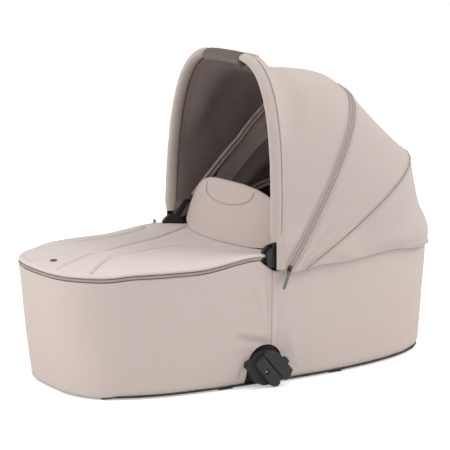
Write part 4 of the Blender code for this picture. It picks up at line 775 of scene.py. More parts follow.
@dataclass(frozen=True)
class TubShape:
    """The tub's outlines and the height of its rim."""
    middle_x: float = -0.0674
    bottom_z: float = 0.006
    rim: tuple[float, ...] = (-0.4234, 0.416, 0.2006, 3.01, 2.51)
    base: tuple[float, ...] = (-0.3983, 0.4124, 0.1891, 3.27, 2.21)
    rim_low_z: float = 0.2181
    steps: tuple[tuple[float, float, float], ...] = ((0.0050, -0.360, 0.060), (0.0150, -0.195, 0.130),
                                                     (-0.0015, -0.070, 0.040), (-0.0245, 0.240, 0.200))

    def outline(self, angle: float, sizes: Sequence[float], inset: float) -> tuple[float, float]:
        """A place in plan on an outline, drawn in by an inset.

        Args:
            angle: The angle round it, 0 at the head end.
            sizes: Its foot and head x, half width, and foot and head powers.
            inset: How far it is drawn in.

        Returns:
            The place's x and y.
        """
        foot_x, head_x, half, foot_power, head_power = sizes
        c, s = math.cos(angle), math.sin(angle)
        power = foot_power if c < 0 else head_power
        reach = self.middle_x - foot_x - inset if c < 0 else head_x - inset - self.middle_x
        size = (abs(c) ** power + abs(s) ** power) ** (-1 / power)
        return self.middle_x + reach * c * size, (half - inset) * s * size

    def rim_xy(self, angle: float, inset: float = 0.0) -> tuple[float, float]:
        """A place on the rim in plan."""
        return self.outline(angle, self.rim, inset)

    def rim_z(self, x: float) -> float:
        """The rim's height."""
        return self.rim_low_z + sum(rise * smooth((x - at) / run) for rise, at, run in self.steps)

    def wall(self, angle: float, share: float, inset: float = 0.0, drop: float = 0.0) -> Vector:
        """A place on the wall, from its bottom edge at share 0 to its rim at 1.

        Args:
            angle: The outline angle.
            share: The share of the way up.
            inset: How far the wall is drawn in.
            drop: How far its top lies under the rim.

        Returns:
            The place.
        """
        x0, y0 = self.outline(angle, self.base, inset)
        x1, y1 = self.rim_xy(angle, inset)
        top = self.rim_z(x1) - drop
        return Vector((x0 + (x1 - x0) * share, y0 + (y1 - y0) * share,
                       self.bottom_z + (top - self.bottom_z) * share))

    def angle_at(self, x: float) -> float:
        """The far side's outline angle where the rim reaches x.

        Args:
            x: The rim's x.

        Returns:
            The angle, between 0 and half a turn.
        """
        low, high = 0.0, math.pi
        for _ in range(40):
            middle = (low + high) / 2
            if self.rim_xy(middle)[0] > x:
                low = middle
            else:
                high = middle
        return low

    def angles(self, first: float, last: float, count: int, gather: float = 0.0) -> list[float]:
        """Outline angles at even spacing along the rim.

        Args:
            first: The first angle.
            last: The last angle.
            count: How many spaces there are between them.
            gather: How much closer they stand at both ends, from 0 to 1.

        Returns:
            The angles, one more than count.
        """
        fine = [first + (last - first) * i / 1600 for i in range(1601)]
        lengths = [0.0]
        for a, b in zip(fine, fine[1:]):
            lengths.append(lengths[-1] + math.dist(self.rim_xy(a), self.rim_xy(b)))
        result, k = [], 0
        for i in range(count + 1):
            s = i / count
            wanted = lengths[-1] * (s - gather * math.sin(2 * math.pi * s) / (2 * math.pi))
            while k < 1599 and lengths[k + 1] < wanted:
                k += 1
            share = (wanted - lengths[k]) / (lengths[k + 1] - lengths[k])
            result.append(fine[k] + (fine[k + 1] - fine[k]) * share)
        return result


TUB = TubShape()
HUB_X, HUB_Z = -0.029, 0.242


@dataclass(frozen=True)
class Fold:
    """A soft ridge or dent in the tub's side cloth, from one place to another in x and z."""
    start: tuple[float, float]
    end: tuple[float, float]
    half_width: float
    height: float

    def lift(self, x: float, z: float) -> float:
        """How far it lifts the cloth at a place.

        Args:
            x: The place's x.
            z: The place's height.

        Returns:
            The lift in metres.
        """
        a, b, p = Vector(self.start), Vector(self.end), Vector((x, z))
        run = b - a
        share = (p - a).dot(run) / run.length_squared
        held = min(max(share, 0.0), 1.0)
        fade = smooth(1 - abs(share - held) * run.length / self.half_width / 2)
        taper = 0.35 + 0.65 * math.sin(math.pi * min(max(held, 0.08), 0.92))
        return self.height * hump((p - a - run * held).length, self.half_width) * fade * taper


@dataclass
class TubCover:
    """The outer cover: a foot half and a head half of cloth, sewn at the sides."""
    seam_x: float = -0.033
    thickness: float = 0.0018
    hem_rise: float = 0.010
    hem_inset: float = 0.003
    belly: float = 0.0015
    drum: tuple[float, float, float] = (-0.0437, 0.0414, 0.0362)
    drum_edge: float = 0.006
    foot_drop: float = 0.0032
    drift: float = 0.0011
    ripple: float = 0.0008
    seam_depth: float = 0.0012
    seam_half: float = 0.0016
    welt_away: float = 0.004
    welt_height: float = 0.0005
    welt_half: float = 0.002
    notch_drop: float = 0.0205
    binding_radius: float = 0.0011
    rows: int = 56
    folds: tuple[Fold, ...] = (
        Fold((-0.050, 0.196), (-0.041, 0.120), 0.0060, -0.0018),
        Fold((-0.072, 0.208), (-0.052, 0.150), 0.0080, 0.0014),
        Fold((-0.080, 0.170), (-0.045, 0.190), 0.0070, 0.0016),
        Fold((-0.095, 0.150), (-0.043, 0.165), 0.0070, -0.0014),
        Fold((-0.108, 0.096), (-0.040, 0.078), 0.0070, -0.0030),
        Fold((-0.116, 0.110), (-0.042, 0.095), 0.0080, 0.0020),
        Fold((-0.090, 0.010), (-0.080, 0.052), 0.0040, 0.0030),
        Fold((-0.101, 0.008), (-0.088, 0.050), 0.0045, -0.0022),
        Fold((-0.016, 0.150), (-0.024, 0.085), 0.0060, -0.0012),
        Fold((0.030, 0.030), (0.006, 0.090), 0.0090, 0.0012),
        Fold((-0.020, 0.205), (0.010, 0.215), 0.0060, -0.0012),
    )

    def top(self, x: float) -> float:
        """The top edge's height, cut away round the hub.

        Args:
            x: The place's x.

        Returns:
            The height.
        """
        z = TUB.rim_z(x) - 0.0003
        if x < HUB_X:
            return z - self.notch_drop * min(max((x + 0.0600) / 0.031, 0.0), 1.0) ** 0.8
        return z - self.notch_drop * (1 - smooth((x - HUB_X - 0.010) / 0.014))

    @staticmethod
    def at_foot(x: float) -> float:
        """How far a place lies in the foot end, where the cloth covers the pan's edge."""
        return smooth((-0.33 - x) / 0.03)

    def foot_z(self, x: float) -> float:
        """The bottom edge's height away from the adaptor."""
        return TUB.bottom_z - self.foot_drop * self.at_foot(x)

    def bottom(self, x: float) -> float:
        """The bottom edge's height, arched over the adaptor.

        Args:
            x: The place's x.

        Returns:
            The height.
        """
        centre_x, centre_z, radius = self.drum
        aside = abs(x - centre_x)
        foot = self.foot_z(x)
        if aside >= radius:
            return foot + (centre_z - foot) * smooth(1 - (aside - radius) / self.drum_edge)
        return centre_z + math.sqrt(radius ** 2 - aside ** 2)

    def place(self, angle: float, share: float) -> Vector:
        """A place on the cover.

        Args:
            angle: The outline angle.
            share: From the bottom edge at 0 to the top edge at 1.

        Returns:
            The place, with the cloth's folds.
        """
        x = TUB.wall(angle, 0.5).x
        low, high = self.bottom(TUB.wall(angle, 0.1).x), self.top(TUB.wall(angle, 1.0).x)
        foot = self.foot_z(x)
        z = foot + (high - foot) * share + (low - foot) * (1 - share) ** 3
        rim = TUB.rim_z(TUB.rim_xy(angle)[0]) - 0.0003
        wall = (z - TUB.bottom_z) / (rim - TUB.bottom_z)
        inset = self.hem_inset * (1 - smooth((z - TUB.bottom_z) / self.hem_rise)) * (1 - self.at_foot(x))
        inset -= self.belly * math.sin(math.pi * min(max(wall, 0.0), 1.0))
        place = TUB.wall(angle, wall, inset, 0.0003)
        ahead = TUB.wall(angle + 0.002, wall, inset) - TUB.wall(angle - 0.002, wall, inset)
        outward = Vector((ahead.y, -ahead.x, 0)).normalized()
        keep = smooth((share - 0.0) / 0.05) * smooth((1 - share) / 0.05)
        lift = sum(f.lift(place.x, place.z) for f in self.folds) * keep
        tall = Vector((place.x * 30, place.y * 30, place.z * 9))
        lift += self.drift * noise.noise(place * 13.0) + self.ripple * noise.noise(tall)
        seam = abs(place.x - self.seam_x)
        lift -= self.seam_depth * hump(seam, self.seam_half)
        lift += self.welt_height * hump(seam - self.welt_away, self.welt_half)
        return place + outward * lift

    def edge(self, share: float, first: float, last: float, count: int = 240) -> list[Vector]:
        """The bottom or top edge as a line of places."""
        return [self.place(a, share) for a in TUB.angles(first, last, count, 0.5)]

    def build(self) -> None:
        """Build both halves, the binding, the seams and their stitching."""
        side = TUB.angle_at(self.seam_x)
        for name, first, last, columns in (("cover_foot_panel", side, 2 * math.pi - side, 330),
                                           ("cover_head_panel", -side, side, 350)):
            angles = TUB.angles(first, last, columns, 0.62)
            bm = Bench.grid(columns, self.rows, lambda i, j: self.place(angles[i], j / self.rows))
            made = Bench.piece(f"{name}_cloth", bm, Palette.COVER, "tub", "cover_cloth", (name,),
                               self.thickness)
            Bench.cloth(made, "stretched", ["rim_tube", "base_pan"])
        hem = self.edge(0.0, side, 2 * math.pi - side, 400)
        down = Vector((0, 0, 0.0002 - self.binding_radius))
        for word, sign in SIDES.items():
            path = [p + down for p in hem if p.y * sign > 0 and p.x > -0.36]
            Bench.piece(f"cover_hem_binding_{word}", Bench.cord(path, self.binding_radius, 8), Palette.BINDING, "tub",
                        "cover_cloth")
        for word, turn in (("near", 2 * math.pi - side), ("far", side)):
            line = [self.place(turn, j / 60) for j in range(1, 60)]
            out = Vector((0, 0.0003 * SIDES[word], 0))
            for tag, shift in (("foot", -0.0040), ("head", 0.0040)):
                row = [p + out * 1.5 + Vector((shift, 0, 0)) for p in line if 0.084 < p.z < 0.205]
                Bench.piece(f"side_seam_stitches_{tag}_{word}", Bench.stitches(row), Palette.THREAD_AND_SHADE, "tub",
                            "cover_cloth")


@dataclass
class Liner:
    """The bag inside the tub, from the rim down to the pan's floor."""
    inset: float = 0.0178
    floor_inset: float = 0.0190
    floor_z: float = 0.0093
    columns: int = 260
    rows: int = 46

    def place(self, angle: float, share: float) -> Vector:
        """A place on the bag, from the rim at share 0 to the middle of the floor at 1.

        Args:
            angle: The outline angle.
            share: The share of the way in.

        Returns:
            The place.
        """
        if share < 0.62:
            wall = 1 - share / 0.62 * 0.96
            place = TUB.wall(angle, wall, self.inset + 0.0004, 0.004)
            lift = 0.0016 * noise.noise(place * 16.0) + 0.0012 * noise.noise(Vector((angle * 9.0, place.z * 6, 0)))
            inward = Vector((TUB.middle_x - place.x, -place.y, 0)).normalized()
            return place + inward * abs(lift) * smooth((1 - wall) * 12)
        x, y = TUB.outline(angle, TUB.base, self.floor_inset)
        spine = Vector((min(max(x, -0.22), 0.20), 0.0, self.floor_z))
        return Vector((x, y, self.floor_z)).lerp(spine, (share - 0.62) / 0.38)

    def build(self) -> None:
        """Build the bag and its rolled top edge."""
        angles = [2 * math.pi * i / self.columns for i in range(self.columns + 1)]
        bm = Bench.grid(self.columns, self.rows, lambda i, j: self.place(angles[i % self.columns], j / self.rows),
                        True)
        bmesh.ops.recalc_face_normals(bm, faces=bm.faces)
        bmesh.ops.reverse_faces(bm, faces=bm.faces)
        made = Bench.piece("liner_bag", bm, Palette.LINER, "tub", "liner_cloth", ("liner",), 0.0012)
        Bench.cloth(made, "hung", ["rim_tube", "base_pan"])
        top = [self.place(a, 0.0) for a in angles[:-1]]
        Bench.piece("liner_binding", Bench.cord(top, 0.0016, 8, True), Palette.PIPING, "tub", "liner_cloth")


@dataclass
class Mattress:
    """The mattress pad: a crowned closed form with a piped edge and light quilting."""
    inset: float = 0.0225
    low_z: float = 0.0111
    high_z: float = 0.0445
    crown: float = 0.0050
    edge: float = 0.009
    columns: int = 168
    rows: int = 44

    def place(self, angle: float, share: float) -> Vector:
        """A place round the pad's section, from the underside's middle at share 0 to the top's middle at 1.

        Args:
            angle: The outline angle.
            share: The share of the way round.

        Returns:
            The place.
        """
        inner = abs(share - 0.5) / 0.5
        x, y = TUB.outline(angle, TUB.base, self.inset)
        spine = Vector((min(max(x, -0.22), 0.20), 0.0))
        if inner > 0.14:
            draw = (inner - 0.14) / 0.86
            rounding, height = 0.0, 1.0
        else:
            draw = 0.0
            turn = inner / 0.14 * math.pi / 2
            rounding, height = math.cos(turn), math.sin(turn)
        flat = Vector((x, y))
        inward = (spine - flat).normalized()
        flat = flat + inward * self.edge * (1 - rounding)
        flat = flat.lerp(spine, draw)
        half = (self.high_z - self.low_z) / 2
        z = (self.low_z + self.high_z) / 2 + (height if share > 0.5 else -height) * half
        if share > 0.5:
            z += self.crown * smooth(draw * 2)
        return Vector((flat.x, flat.y, z))

    def build(self) -> None:
        """Build the pad, swell it and pipe its edge."""
        bm = Bench.grid(self.columns, self.rows,
                        lambda i, j: self.place(2 * math.pi * (i % self.columns) / self.columns, j / self.rows), True)
        bmesh.ops.recalc_face_normals(bm, faces=bm.faces)
        made = Bench.piece("mattress_pad", bm, Palette.TICKING, "tub", "mattress_cloth", ("mattress",))
        Bench.inflate(made, lambda p: p.z < self.low_z + 0.004, 1.2, 0.003)
        for vert in made.data.vertices:
            p = vert.co
            if p.z > self.high_z - 0.004:
                tuft = math.cos(p.x * math.pi / 0.035) * math.cos(p.y * math.pi / 0.035)
                p.z += 0.0010 * (abs(tuft) - 0.5)
                p.z = min(p.z, 0.0512)
        fine = made.modifiers.new("Fine", "SUBSURF")
        fine.levels = fine.render_levels = 1
        ring = []
        for i in range(168):
            x, y = TUB.outline(2 * math.pi * i / 168, TUB.base, self.inset + 0.0006)
            ring.append(Vector((x, y, self.high_z - 0.006)))
        Bench.piece("mattress_piping", Bench.cord(ring, 0.0016, 8, True), Palette.PIPING, "tub", "mattress_cloth")


# Apron and flap

FLAP_X, FLAP_SWEEP, FLAP_SWEEP_HALF, FLAP_SWEEP_POWER = -0.044, 0.0236, 0.1413, 2.2


def flap_x(y: float) -> float:
    """The flap's foot in plan."""
    return FLAP_X + FLAP_SWEEP * (abs(y) / FLAP_SWEEP_HALF) ** FLAP_SWEEP_POWER


@dataclass
class Apron:
    """The quilted apron over the foot end, with its sewn channels, its zip and its stud."""
    border: float = 0.0135
    underside: float = 0.0065
    padding: float = 0.0085
    edge_round: float = 0.007
    bulge: float = 0.0010
    channel_depth: float = 0.0044
    channel_half: float = 0.0065
    corner_x: float = -0.057
    shoulder_y: float = 0.182
    reach: float = 0.075
    crown: tuple[float, float, float, float] = (0.2350, 0.0105, -0.420, 0.160)
    rear_margin: float = 0.010
    columns: int = 500
    rows: int = 76
    low_rows: int = 10
    round_rows: int = 6
    quilting: tuple[tuple[tuple[float, float], ...], ...] = (
        ((-0.970, 0.190), (-0.907, 0.209), (-0.756, 0.105), (-0.654, 0.005), (-0.489, 0.170), (-0.312, 0.344),
         (-0.158, 0.573), (-0.047, 0.748)),
        ((-0.846, 0.608), (-0.654, 0.553), (-0.463, 0.628), (-0.309, 0.790), (-0.220, 0.900)),
        ((-0.950, -0.290), (-0.867, -0.174), (-0.751, -0.040), (-0.654, 0.005)),
        ((-0.880, -0.640), (-0.791, -0.459), (-0.685, -0.279), (-0.590, -0.239), (-0.437, -0.140),
         (-0.300, -0.125), (-0.187, -0.199), (-0.110, -0.290)),
        ((-0.342, 0.229), (-0.222, 0.169), (-0.125, 0.110)))

    def __post_init__(self) -> None:
        """Work out the outline and the sewn lines."""
        first = TUB.angle_at(self.corner_x)
        side = [Vector(TUB.rim_xy(a)) for a in TUB.angles(first, 2 * math.pi - first, 300)]
        rear = [Vector((flap_x(y) + self.rear_margin, y)) for y in
                (self.shoulder_y * (2 * i / 60 - 1) for i in range(61))]
        self.edge = Track(side)
        ring = [Vector((*p, 0)) for p in side + rear + side[:1]]
        self.ring = [p.to_2d() for p in even(ring, self.columns + 1)][:-1]
        self.lines = []
        for line in self.quilting:
            raw = [Vector((x * 0.4234, y * 0.2006, 0)) for x, y in line]
            soft = []
            for i in range(len(raw) - 1):
                p0, p1, p2, p3 = (raw[min(max(k, 0), len(raw) - 1)] for k in (i - 1, i, i + 1, i + 2))
                for step in range(8):
                    t = step / 8
                    soft.append(0.5 * ((2 * p1) + (p2 - p0) * t + (2 * p0 - 5 * p1 + 4 * p2 - p3) * t * t
                                       + (3 * p1 - p0 - 3 * p2 + p3) * t ** 3))
            self.lines.append([p.to_2d() for p in soft + raw[-1:]])
        self.seams = Track(*self.lines)

    def rise(self, place: Vector, over_rim: float, under_crown: float) -> float:
        """A surface's height in plan.

        Args:
            place: The place in plan.
            over_rim: How far the surface's edge lies over the rim.
            under_crown: How far its middle lies under the crown.

        Returns:
            The height.
        """
        low, step, start_x, run = self.crown
        crown = low + step * smooth((place.x - start_x) / run) - under_crown
        border = TUB.rim_z(place.x) + over_rim
        near = min(self.edge.away(*place[:2]) / self.reach, 1.0)
        return border + (crown - border) * (1 - (1 - near) ** 2)

    def top(self, place: Vector) -> float:
        """The top's height in plan, before it is sewn."""
        return self.rise(place, self.border, 0.0)

    def low(self, place: Vector) -> float:
        """The underside's height in plan."""
        return self.rise(place, self.underside, self.padding)

    def spine(self, place: Vector) -> Vector:
        """The place on the apron's middle line that a place on its edge is drawn towards."""
        x = min(max(place.x * 0.9 - 0.02, -0.30), -0.13)
        return Vector((round(x / 0.0045) * 0.0045, 0.0))

    def place(self, column: int, row: int) -> Vector:
        """A place round the apron's section, from the underside's middle to the top's.

        Args:
            column: The column's number round the edge.
            row: The row's number.

        Returns:
            The place.
        """
        edge = self.ring[column % self.columns]
        spine = self.spine(edge)
        inward = (spine - edge).normalized()
        lows, rounds = self.low_rows, self.round_rows
        if row <= lows:
            share = 1 - row / lows
            plan = (edge + inward * self.bulge * 2).lerp(spine, share)
            return Vector((*plan, self.low(plan)))
        if row <= lows + rounds:
            turn = (row - lows) / rounds * math.pi / 2
            plan = edge - inward * self.bulge + inward * (self.edge_round + self.bulge) * (1 - math.cos(turn))
            low, high = self.low(edge), self.top(edge + inward * self.edge_round)
            return Vector((*plan, low + (high - low) * (0.25 + 0.75 * math.sin(turn))))
        share = (row - lows - rounds) / (self.rows - lows - rounds)
        plan = (edge + inward * self.edge_round).lerp(spine, share)
        return Vector((*plan, self.top(plan)))

    def build(self) -> None:
        """Build the quilt, swell it between its channels, and add tape, teeth, and a darker cord along each channel
        that is stitching and painted shade.
        """
        bm = Bench.grid(self.columns, self.rows, self.place, True)
        bmesh.ops.remove_doubles(bm, verts=bm.verts, dist=2e-5)
        bmesh.ops.recalc_face_normals(bm, faces=bm.faces)
        made = Bench.piece("apron_quilt", bm, Palette.APRON, "tub", "apron_cloth", ("apron",))

        def held(p: Vector) -> bool:
            """Whether the quilt is sewn down or bound at a place.

            Args:
                p: The place.

            Returns:
                True where it stays.
            """
            plan = p.to_2d()
            return (self.seams.away(*plan) < 0.0035 or self.edge.away(*plan) < 0.011
                    or p.z < self.top(plan) - 0.004 or p.x > flap_x(p.y) - 0.004)
        Bench.inflate(made, held, 2.2, 0.0035)
        for vert in made.data.vertices:
            plan = vert.co.to_2d()
            if vert.co.z > self.top(plan) - 0.004:
                apart = self.seams.away(*plan)
                vert.co.z -= self.channel_depth * (1 - smooth(apart / self.channel_half)) * 0.9
                rim = self.edge.away(*plan)
                vert.co.z -= 0.0011 * hump(rim - 0.0125, 0.0022)
        # A continuous cord darker than the cloth along each channel's bottom: the quilting thread, and painted shade
        # in the groove.
        for k, line in enumerate(self.lines):
            path = [Vector((*p, self.top(p) - self.channel_depth * 0.9 + 0.0003)) for p in line
                    if self.edge.away(*p) > 0.012 and p.x < flap_x(p.y) - 0.004]
            Bench.piece(f"apron_seam_thread_and_shade_{k}", Bench.cord(even(path, 120), 0.0007), Palette.THREAD_AND_SHADE, "tub",
                        "apron_cloth")
        self.zip()

    def zip(self) -> None:
        """The zip between the cover's top edge and the apron: its tape and its coil."""
        first = TUB.angle_at(self.corner_x)
        angles = TUB.angles(first, 2 * math.pi - first, 300)
        low, high = 0.0011, 0.0059

        def place(i: int, j: int) -> Vector:
            """A place on the tape."""
            x, y = TUB.rim_xy(angles[i], 0.0006)
            return Vector((x, y, TUB.rim_z(x) + low + (high - low) * j / 3))
        made = Bench.piece("apron_zip_band", Bench.grid(300, 3, place, flip=False), Palette.APRON_TAPE, "tub",
                           "zip_tape", ("apron_zip_tape",), 0.0012)
        Bench.cloth(made, "stretched", ["apron_quilt", "cover_foot_panel_cloth"])
        path = [Vector((*TUB.rim_xy(a, -0.0002), 0)) for a in angles]
        path = even([Vector((p.x, p.y, TUB.rim_z(p.x) + 0.0035)) for p in path], 1300)
        coil = Bench.coil(path, Vector((0, 0, 1)), (0.0010, 0.0007), (0.00035, 0.0003))
        Bench.piece("apron_zip_teeth", coil, Palette.COIL, "tub", "zip_tape")


@dataclass
class WindFlap:
    """The padded flap that stands behind the apron, with its sewn pocket edge."""
    half: float = 0.1867
    outline_half: float = 0.1925
    base_z: float = 0.2467
    height: float = 0.111
    lean: float = math.tan(math.radians(18))
    thickness: float = 0.0058
    columns: int = 190
    rows: int = 56
    pocket_edge: tuple[tuple[float, float], ...] = (
        (-0.088, 0.3445), (-0.088, 0.3380), (-0.082, 0.3290), (-0.066, 0.3215), (-0.040, 0.3165), (-0.010, 0.3140),
        (0.010, 0.3140), (0.040, 0.3165), (0.066, 0.3215), (0.082, 0.3290), (0.088, 0.3380), (0.088, 0.3445))

    def low(self, y: float) -> float:
        """The lower edge's rise over its seat, where it is sewn to the apron."""
        return 0.006 * smooth((abs(y) - 0.110) / 0.070) - 0.0022

    def high(self, y: float) -> float:
        """The top edge's rise."""
        return self.height * max(1 - (abs(y) / self.outline_half) ** 2.9, 0.0) ** 0.45

    def place(self, column: int, row: int) -> Vector:
        """A place round the flap's section: up its front, over its edge and down its back.

        Args:
            column: The column's number across the flap.
            row: The row's number.

        Returns:
            The place.
        """
        y = self.half * math.sin(math.pi / 2 * (2 * column / self.columns - 1))
        half_rows = self.rows // 2
        front = row <= half_rows
        share = (row if front else self.rows - row) / half_rows
        eased = math.sin(share * math.pi / 2) * 0.35 + share * 0.65
        low, high = self.low(y) + 0.0015, max(self.high(y) - 0.0006, self.low(y) + 0.003)
        rise = low + (high - low) * eased
        ends = math.sqrt(min((1 - abs(column / self.columns * 2 - 1)) * 9, 1.0))
        round_edge = math.sqrt(max(1 - max((share - 0.86) / 0.14, 0.0) ** 2, 0.0))
        foot = math.sqrt(max(1 - max((0.08 - share) / 0.08, 0.0) ** 2, 0.0)) * 0.4 + 0.6
        half = self.thickness / 2 * ends * round_edge * foot
        x = flap_x(y) + self.lean * rise
        lean = Vector((1.0, 0.0, -self.lean)).normalized() * half * (-1 if front else 1)
        return Vector((x, y, self.base_z + rise)) + lean

    def build(self) -> None:
        """Build the flap, swell it and sew its pocket edge."""
        pocket = Track(self.pocket_edge)
        bm = Bench.grid(self.columns, self.rows, self.place, False, True)
        bmesh.ops.remove_doubles(bm, verts=bm.verts, dist=2e-5)
        bmesh.ops.recalc_face_normals(bm, faces=bm.faces)
        made = Bench.piece("wind_flap_pad", bm, Palette.FLAP, None, "apron_cloth", ("wind_flap",))
        Bench.inflate(made, lambda p: p.z < self.base_z + self.low(p.y) + 0.006 or abs(p.y) > 0.180
                      or p.z > self.base_z + self.high(p.y) - 0.004 or pocket.away(p.y, p.z) < 0.003, 1.6, 0.0030)
        for vert in made.data.vertices:
            p = vert.co
            if p.x < flap_x(p.y) + self.lean * (p.z - self.base_z):
                p.x += 0.0014 * hump(pocket.away(p.y, p.z), 0.0022)
        path = even([Vector((flap_x(y) + self.lean * (z - self.base_z) - self.thickness / 2 - 0.0006, y, z))
                     for y, z in self.pocket_edge], 90)
        Bench.piece("flap_pocket_seam", Bench.cord(path, 0.0006), Palette.THREAD_AND_SHADE, "wind_flap", "apron_cloth")
        Bench.bend(made, "tub", "wind_flap", lambda p: (p.z - self.base_z - self.low(p.y)) / 0.022)


# Hood

@dataclass(frozen=True)
class Bow:
    """A hoop of the hood: its name, reach, rise, tube radius and inset, and the height of its hem."""
    name: str
    reach: float
    rise_deg: float
    tube_radius: float
    tube_inset: float
    hem_z: float

    def rise(self) -> tuple[float, float]:
        """Its direction in the fan."""
        angle = math.radians(self.rise_deg)
        return math.cos(angle), math.sin(angle)

    def across(self) -> Vector:
        """The direction square to its plane, towards the head end."""
        cos, sin = self.rise()
        return Vector((sin, 0, -cos))


@dataclass(frozen=True)
class HoodShape:
    """The hood's fan of bows and the lines that its cloth follows."""
    fan_x: float = -0.0317
    fan_z: float = 0.1721
    half: float = 0.211
    power: float = 3.42
    front: Bow = Bow("front", 0.4401, 88.13, 0.0048, 0.0082, 0.2195)
    middle: Bow = Bow("middle", 0.4258, 57.99, 0.0030, 0.0074, 0.2112)
    rear: Bow = Bow("rear", 0.4444, 31.97, 0.0030, 0.0074, 0.2132)
    bend_reach: float = 0.280

    def heart(self) -> Vector:
        """The place that slack cloth sinks towards."""
        return Vector((self.fan_x + self.bend_reach / 3, 0, HUB_Z))

    def ridge_rz(self, bow: Bow, angle: float, inset: float) -> tuple[float, float]:
        """A bow's outline at an angle round it.

        Args:
            bow: The bow.
            angle: The angle, 0 on the near side.
            inset: How far the outline is drawn in.

        Returns:
            The reach from the fan's centre, and y.
        """
        c, s = math.cos(angle), math.sin(angle)
        size = (abs(c) ** self.power + abs(s) ** self.power) ** (-1 / self.power)
        return (bow.reach - inset) * s * size, -(self.half - inset) * c * size

    def gap(self, place: Vector) -> float:
        """How far the front cloth stands back behind the grip.

        Args:
            place: A place on the front ridge.

        Returns:
            The distance in metres.
        """
        if place.z < HUB_Z + self.bend_reach:
            return 0.0
        return 0.026 * (1 - smooth((abs(place.y) - 0.066) / 0.026))

    def ridge(self, bow: Bow, count: int, low_z: Optional[float] = None, inset: float = 0.0, along: float = 0.0,
              gap: bool = False, sink: float = 0.0, lift: float = 0.0) -> list[Vector]:
        """A line over the hood beside a bow's ridge.

        Args:
            bow: The bow.
            count: How many spaces the line has.
            low_z: The height of its ends.
            inset: How far it lies inside the ridge.
            along: How far it lies beside the bow, towards the head end.
            gap: Whether it stands back behind the grip.
            sink: How far it sinks behind the grip.
            lift: How far it stands up over the top.

        Returns:
            The line from the near hem to the far one.
        """
        cos, sin = bow.rise()
        low_z = bow.hem_z if low_z is None else low_z
        start = math.atan2((low_z - self.fan_z) / sin, bow.reach - inset)
        places = []
        for i in range(401):
            reach, y = self.ridge_rz(bow, start + (math.pi - 2 * start) * i / 400, inset)
            place = Vector((self.fan_x + reach * cos, y, self.fan_z + reach * sin))
            back = self.gap(place) if gap else 0.0
            place += bow.across() * (along + back)
            place += Vector((cos, 0, sin)) * (lift * smooth((place.z - 0.32) / 0.18) - sink * back / 0.026)
            drawn = 0.003 * (1 - smooth((place.z - bow.hem_z) / 0.055))
            place.y -= math.copysign(drawn, place.y)
            places.append(place)
        return even(places, count + 1)

    def hem(self, count: int, start_x: float, inset: float, rise: float, dip: float) -> list[Vector]:
        """A line round the head end beside the rim.

        Args:
            count: How many spaces the line has.
            start_x: The x of its ends.
            inset: How far it lies inside the rim.
            rise: Its height over the rim.
            dip: How much lower its ends lie.

        Returns:
            The line from the near end to the far one.
        """
        turn = TUB.angle_at(start_x)
        fine = []
        for angle in TUB.angles(-turn, turn, 400):
            x, y = TUB.rim_xy(angle, inset)
            fine.append(Vector((x, y, TUB.rim_z(x) + rise - dip * (1 - smooth((x - 0.100) / 0.170)))))
        return even(fine, count + 1)

    def tube(self, bow: Bow, angle: float) -> Vector:
        """The tube's centre at an angle round the bow.

        Args:
            bow: The bow.
            angle: The angle, 0 on the near side.

        Returns:
            The centre's place.
        """
        cos, sin = bow.rise()
        reach, y = self.ridge_rz(bow, angle, bow.tube_inset)
        to_hub = Vector((HUB_X - self.fan_x, HUB_Z - self.fan_z))
        start = to_hub.x * cos + to_hub.y * sin
        aside = to_hub - Vector((cos, sin)) * start
        bend = 1 - min(max((reach - start) / (self.bend_reach - start), 0.0), 1.0)
        return Vector((self.fan_x + reach * cos + aside.x * bend, y, self.fan_z + reach * sin + aside.y * bend))

    def tube_line(self, bow: Bow, count: int, low_reach: float, low_y: float = -1.0, high_y: float = 1.0
                  ) -> list[Vector]:
        """The tube's centre line between two places across, outside a distance from the hub.

        Args:
            bow: The bow.
            count: How many spaces the line has.
            low_reach: The distance from the hub.
            low_y: The lowest y.
            high_y: The highest y.

        Returns:
            The line from the near side to the far one.
        """
        fine = [self.tube(bow, math.pi * i / 1600) for i in range(1, 1600)]
        kept = [p for p in fine if low_y <= p.y <= high_y and p.z > HUB_Z
                and math.hypot(p.x - HUB_X, p.z - HUB_Z) >= low_reach]
        return even(kept, count + 1)

    def turn_share(self, place: Vector, first: Bow, last: Bow) -> float:
        """A place's share of the turn about the fan's centre from one bow to another."""
        angle = math.degrees(math.atan2(place.z - self.fan_z, place.x - self.fan_x))
        return (angle - first.rise_deg) / (last.rise_deg - first.rise_deg)


HOOD = HoodShape()
LIFT, DRAWN = 0.006, -0.0035


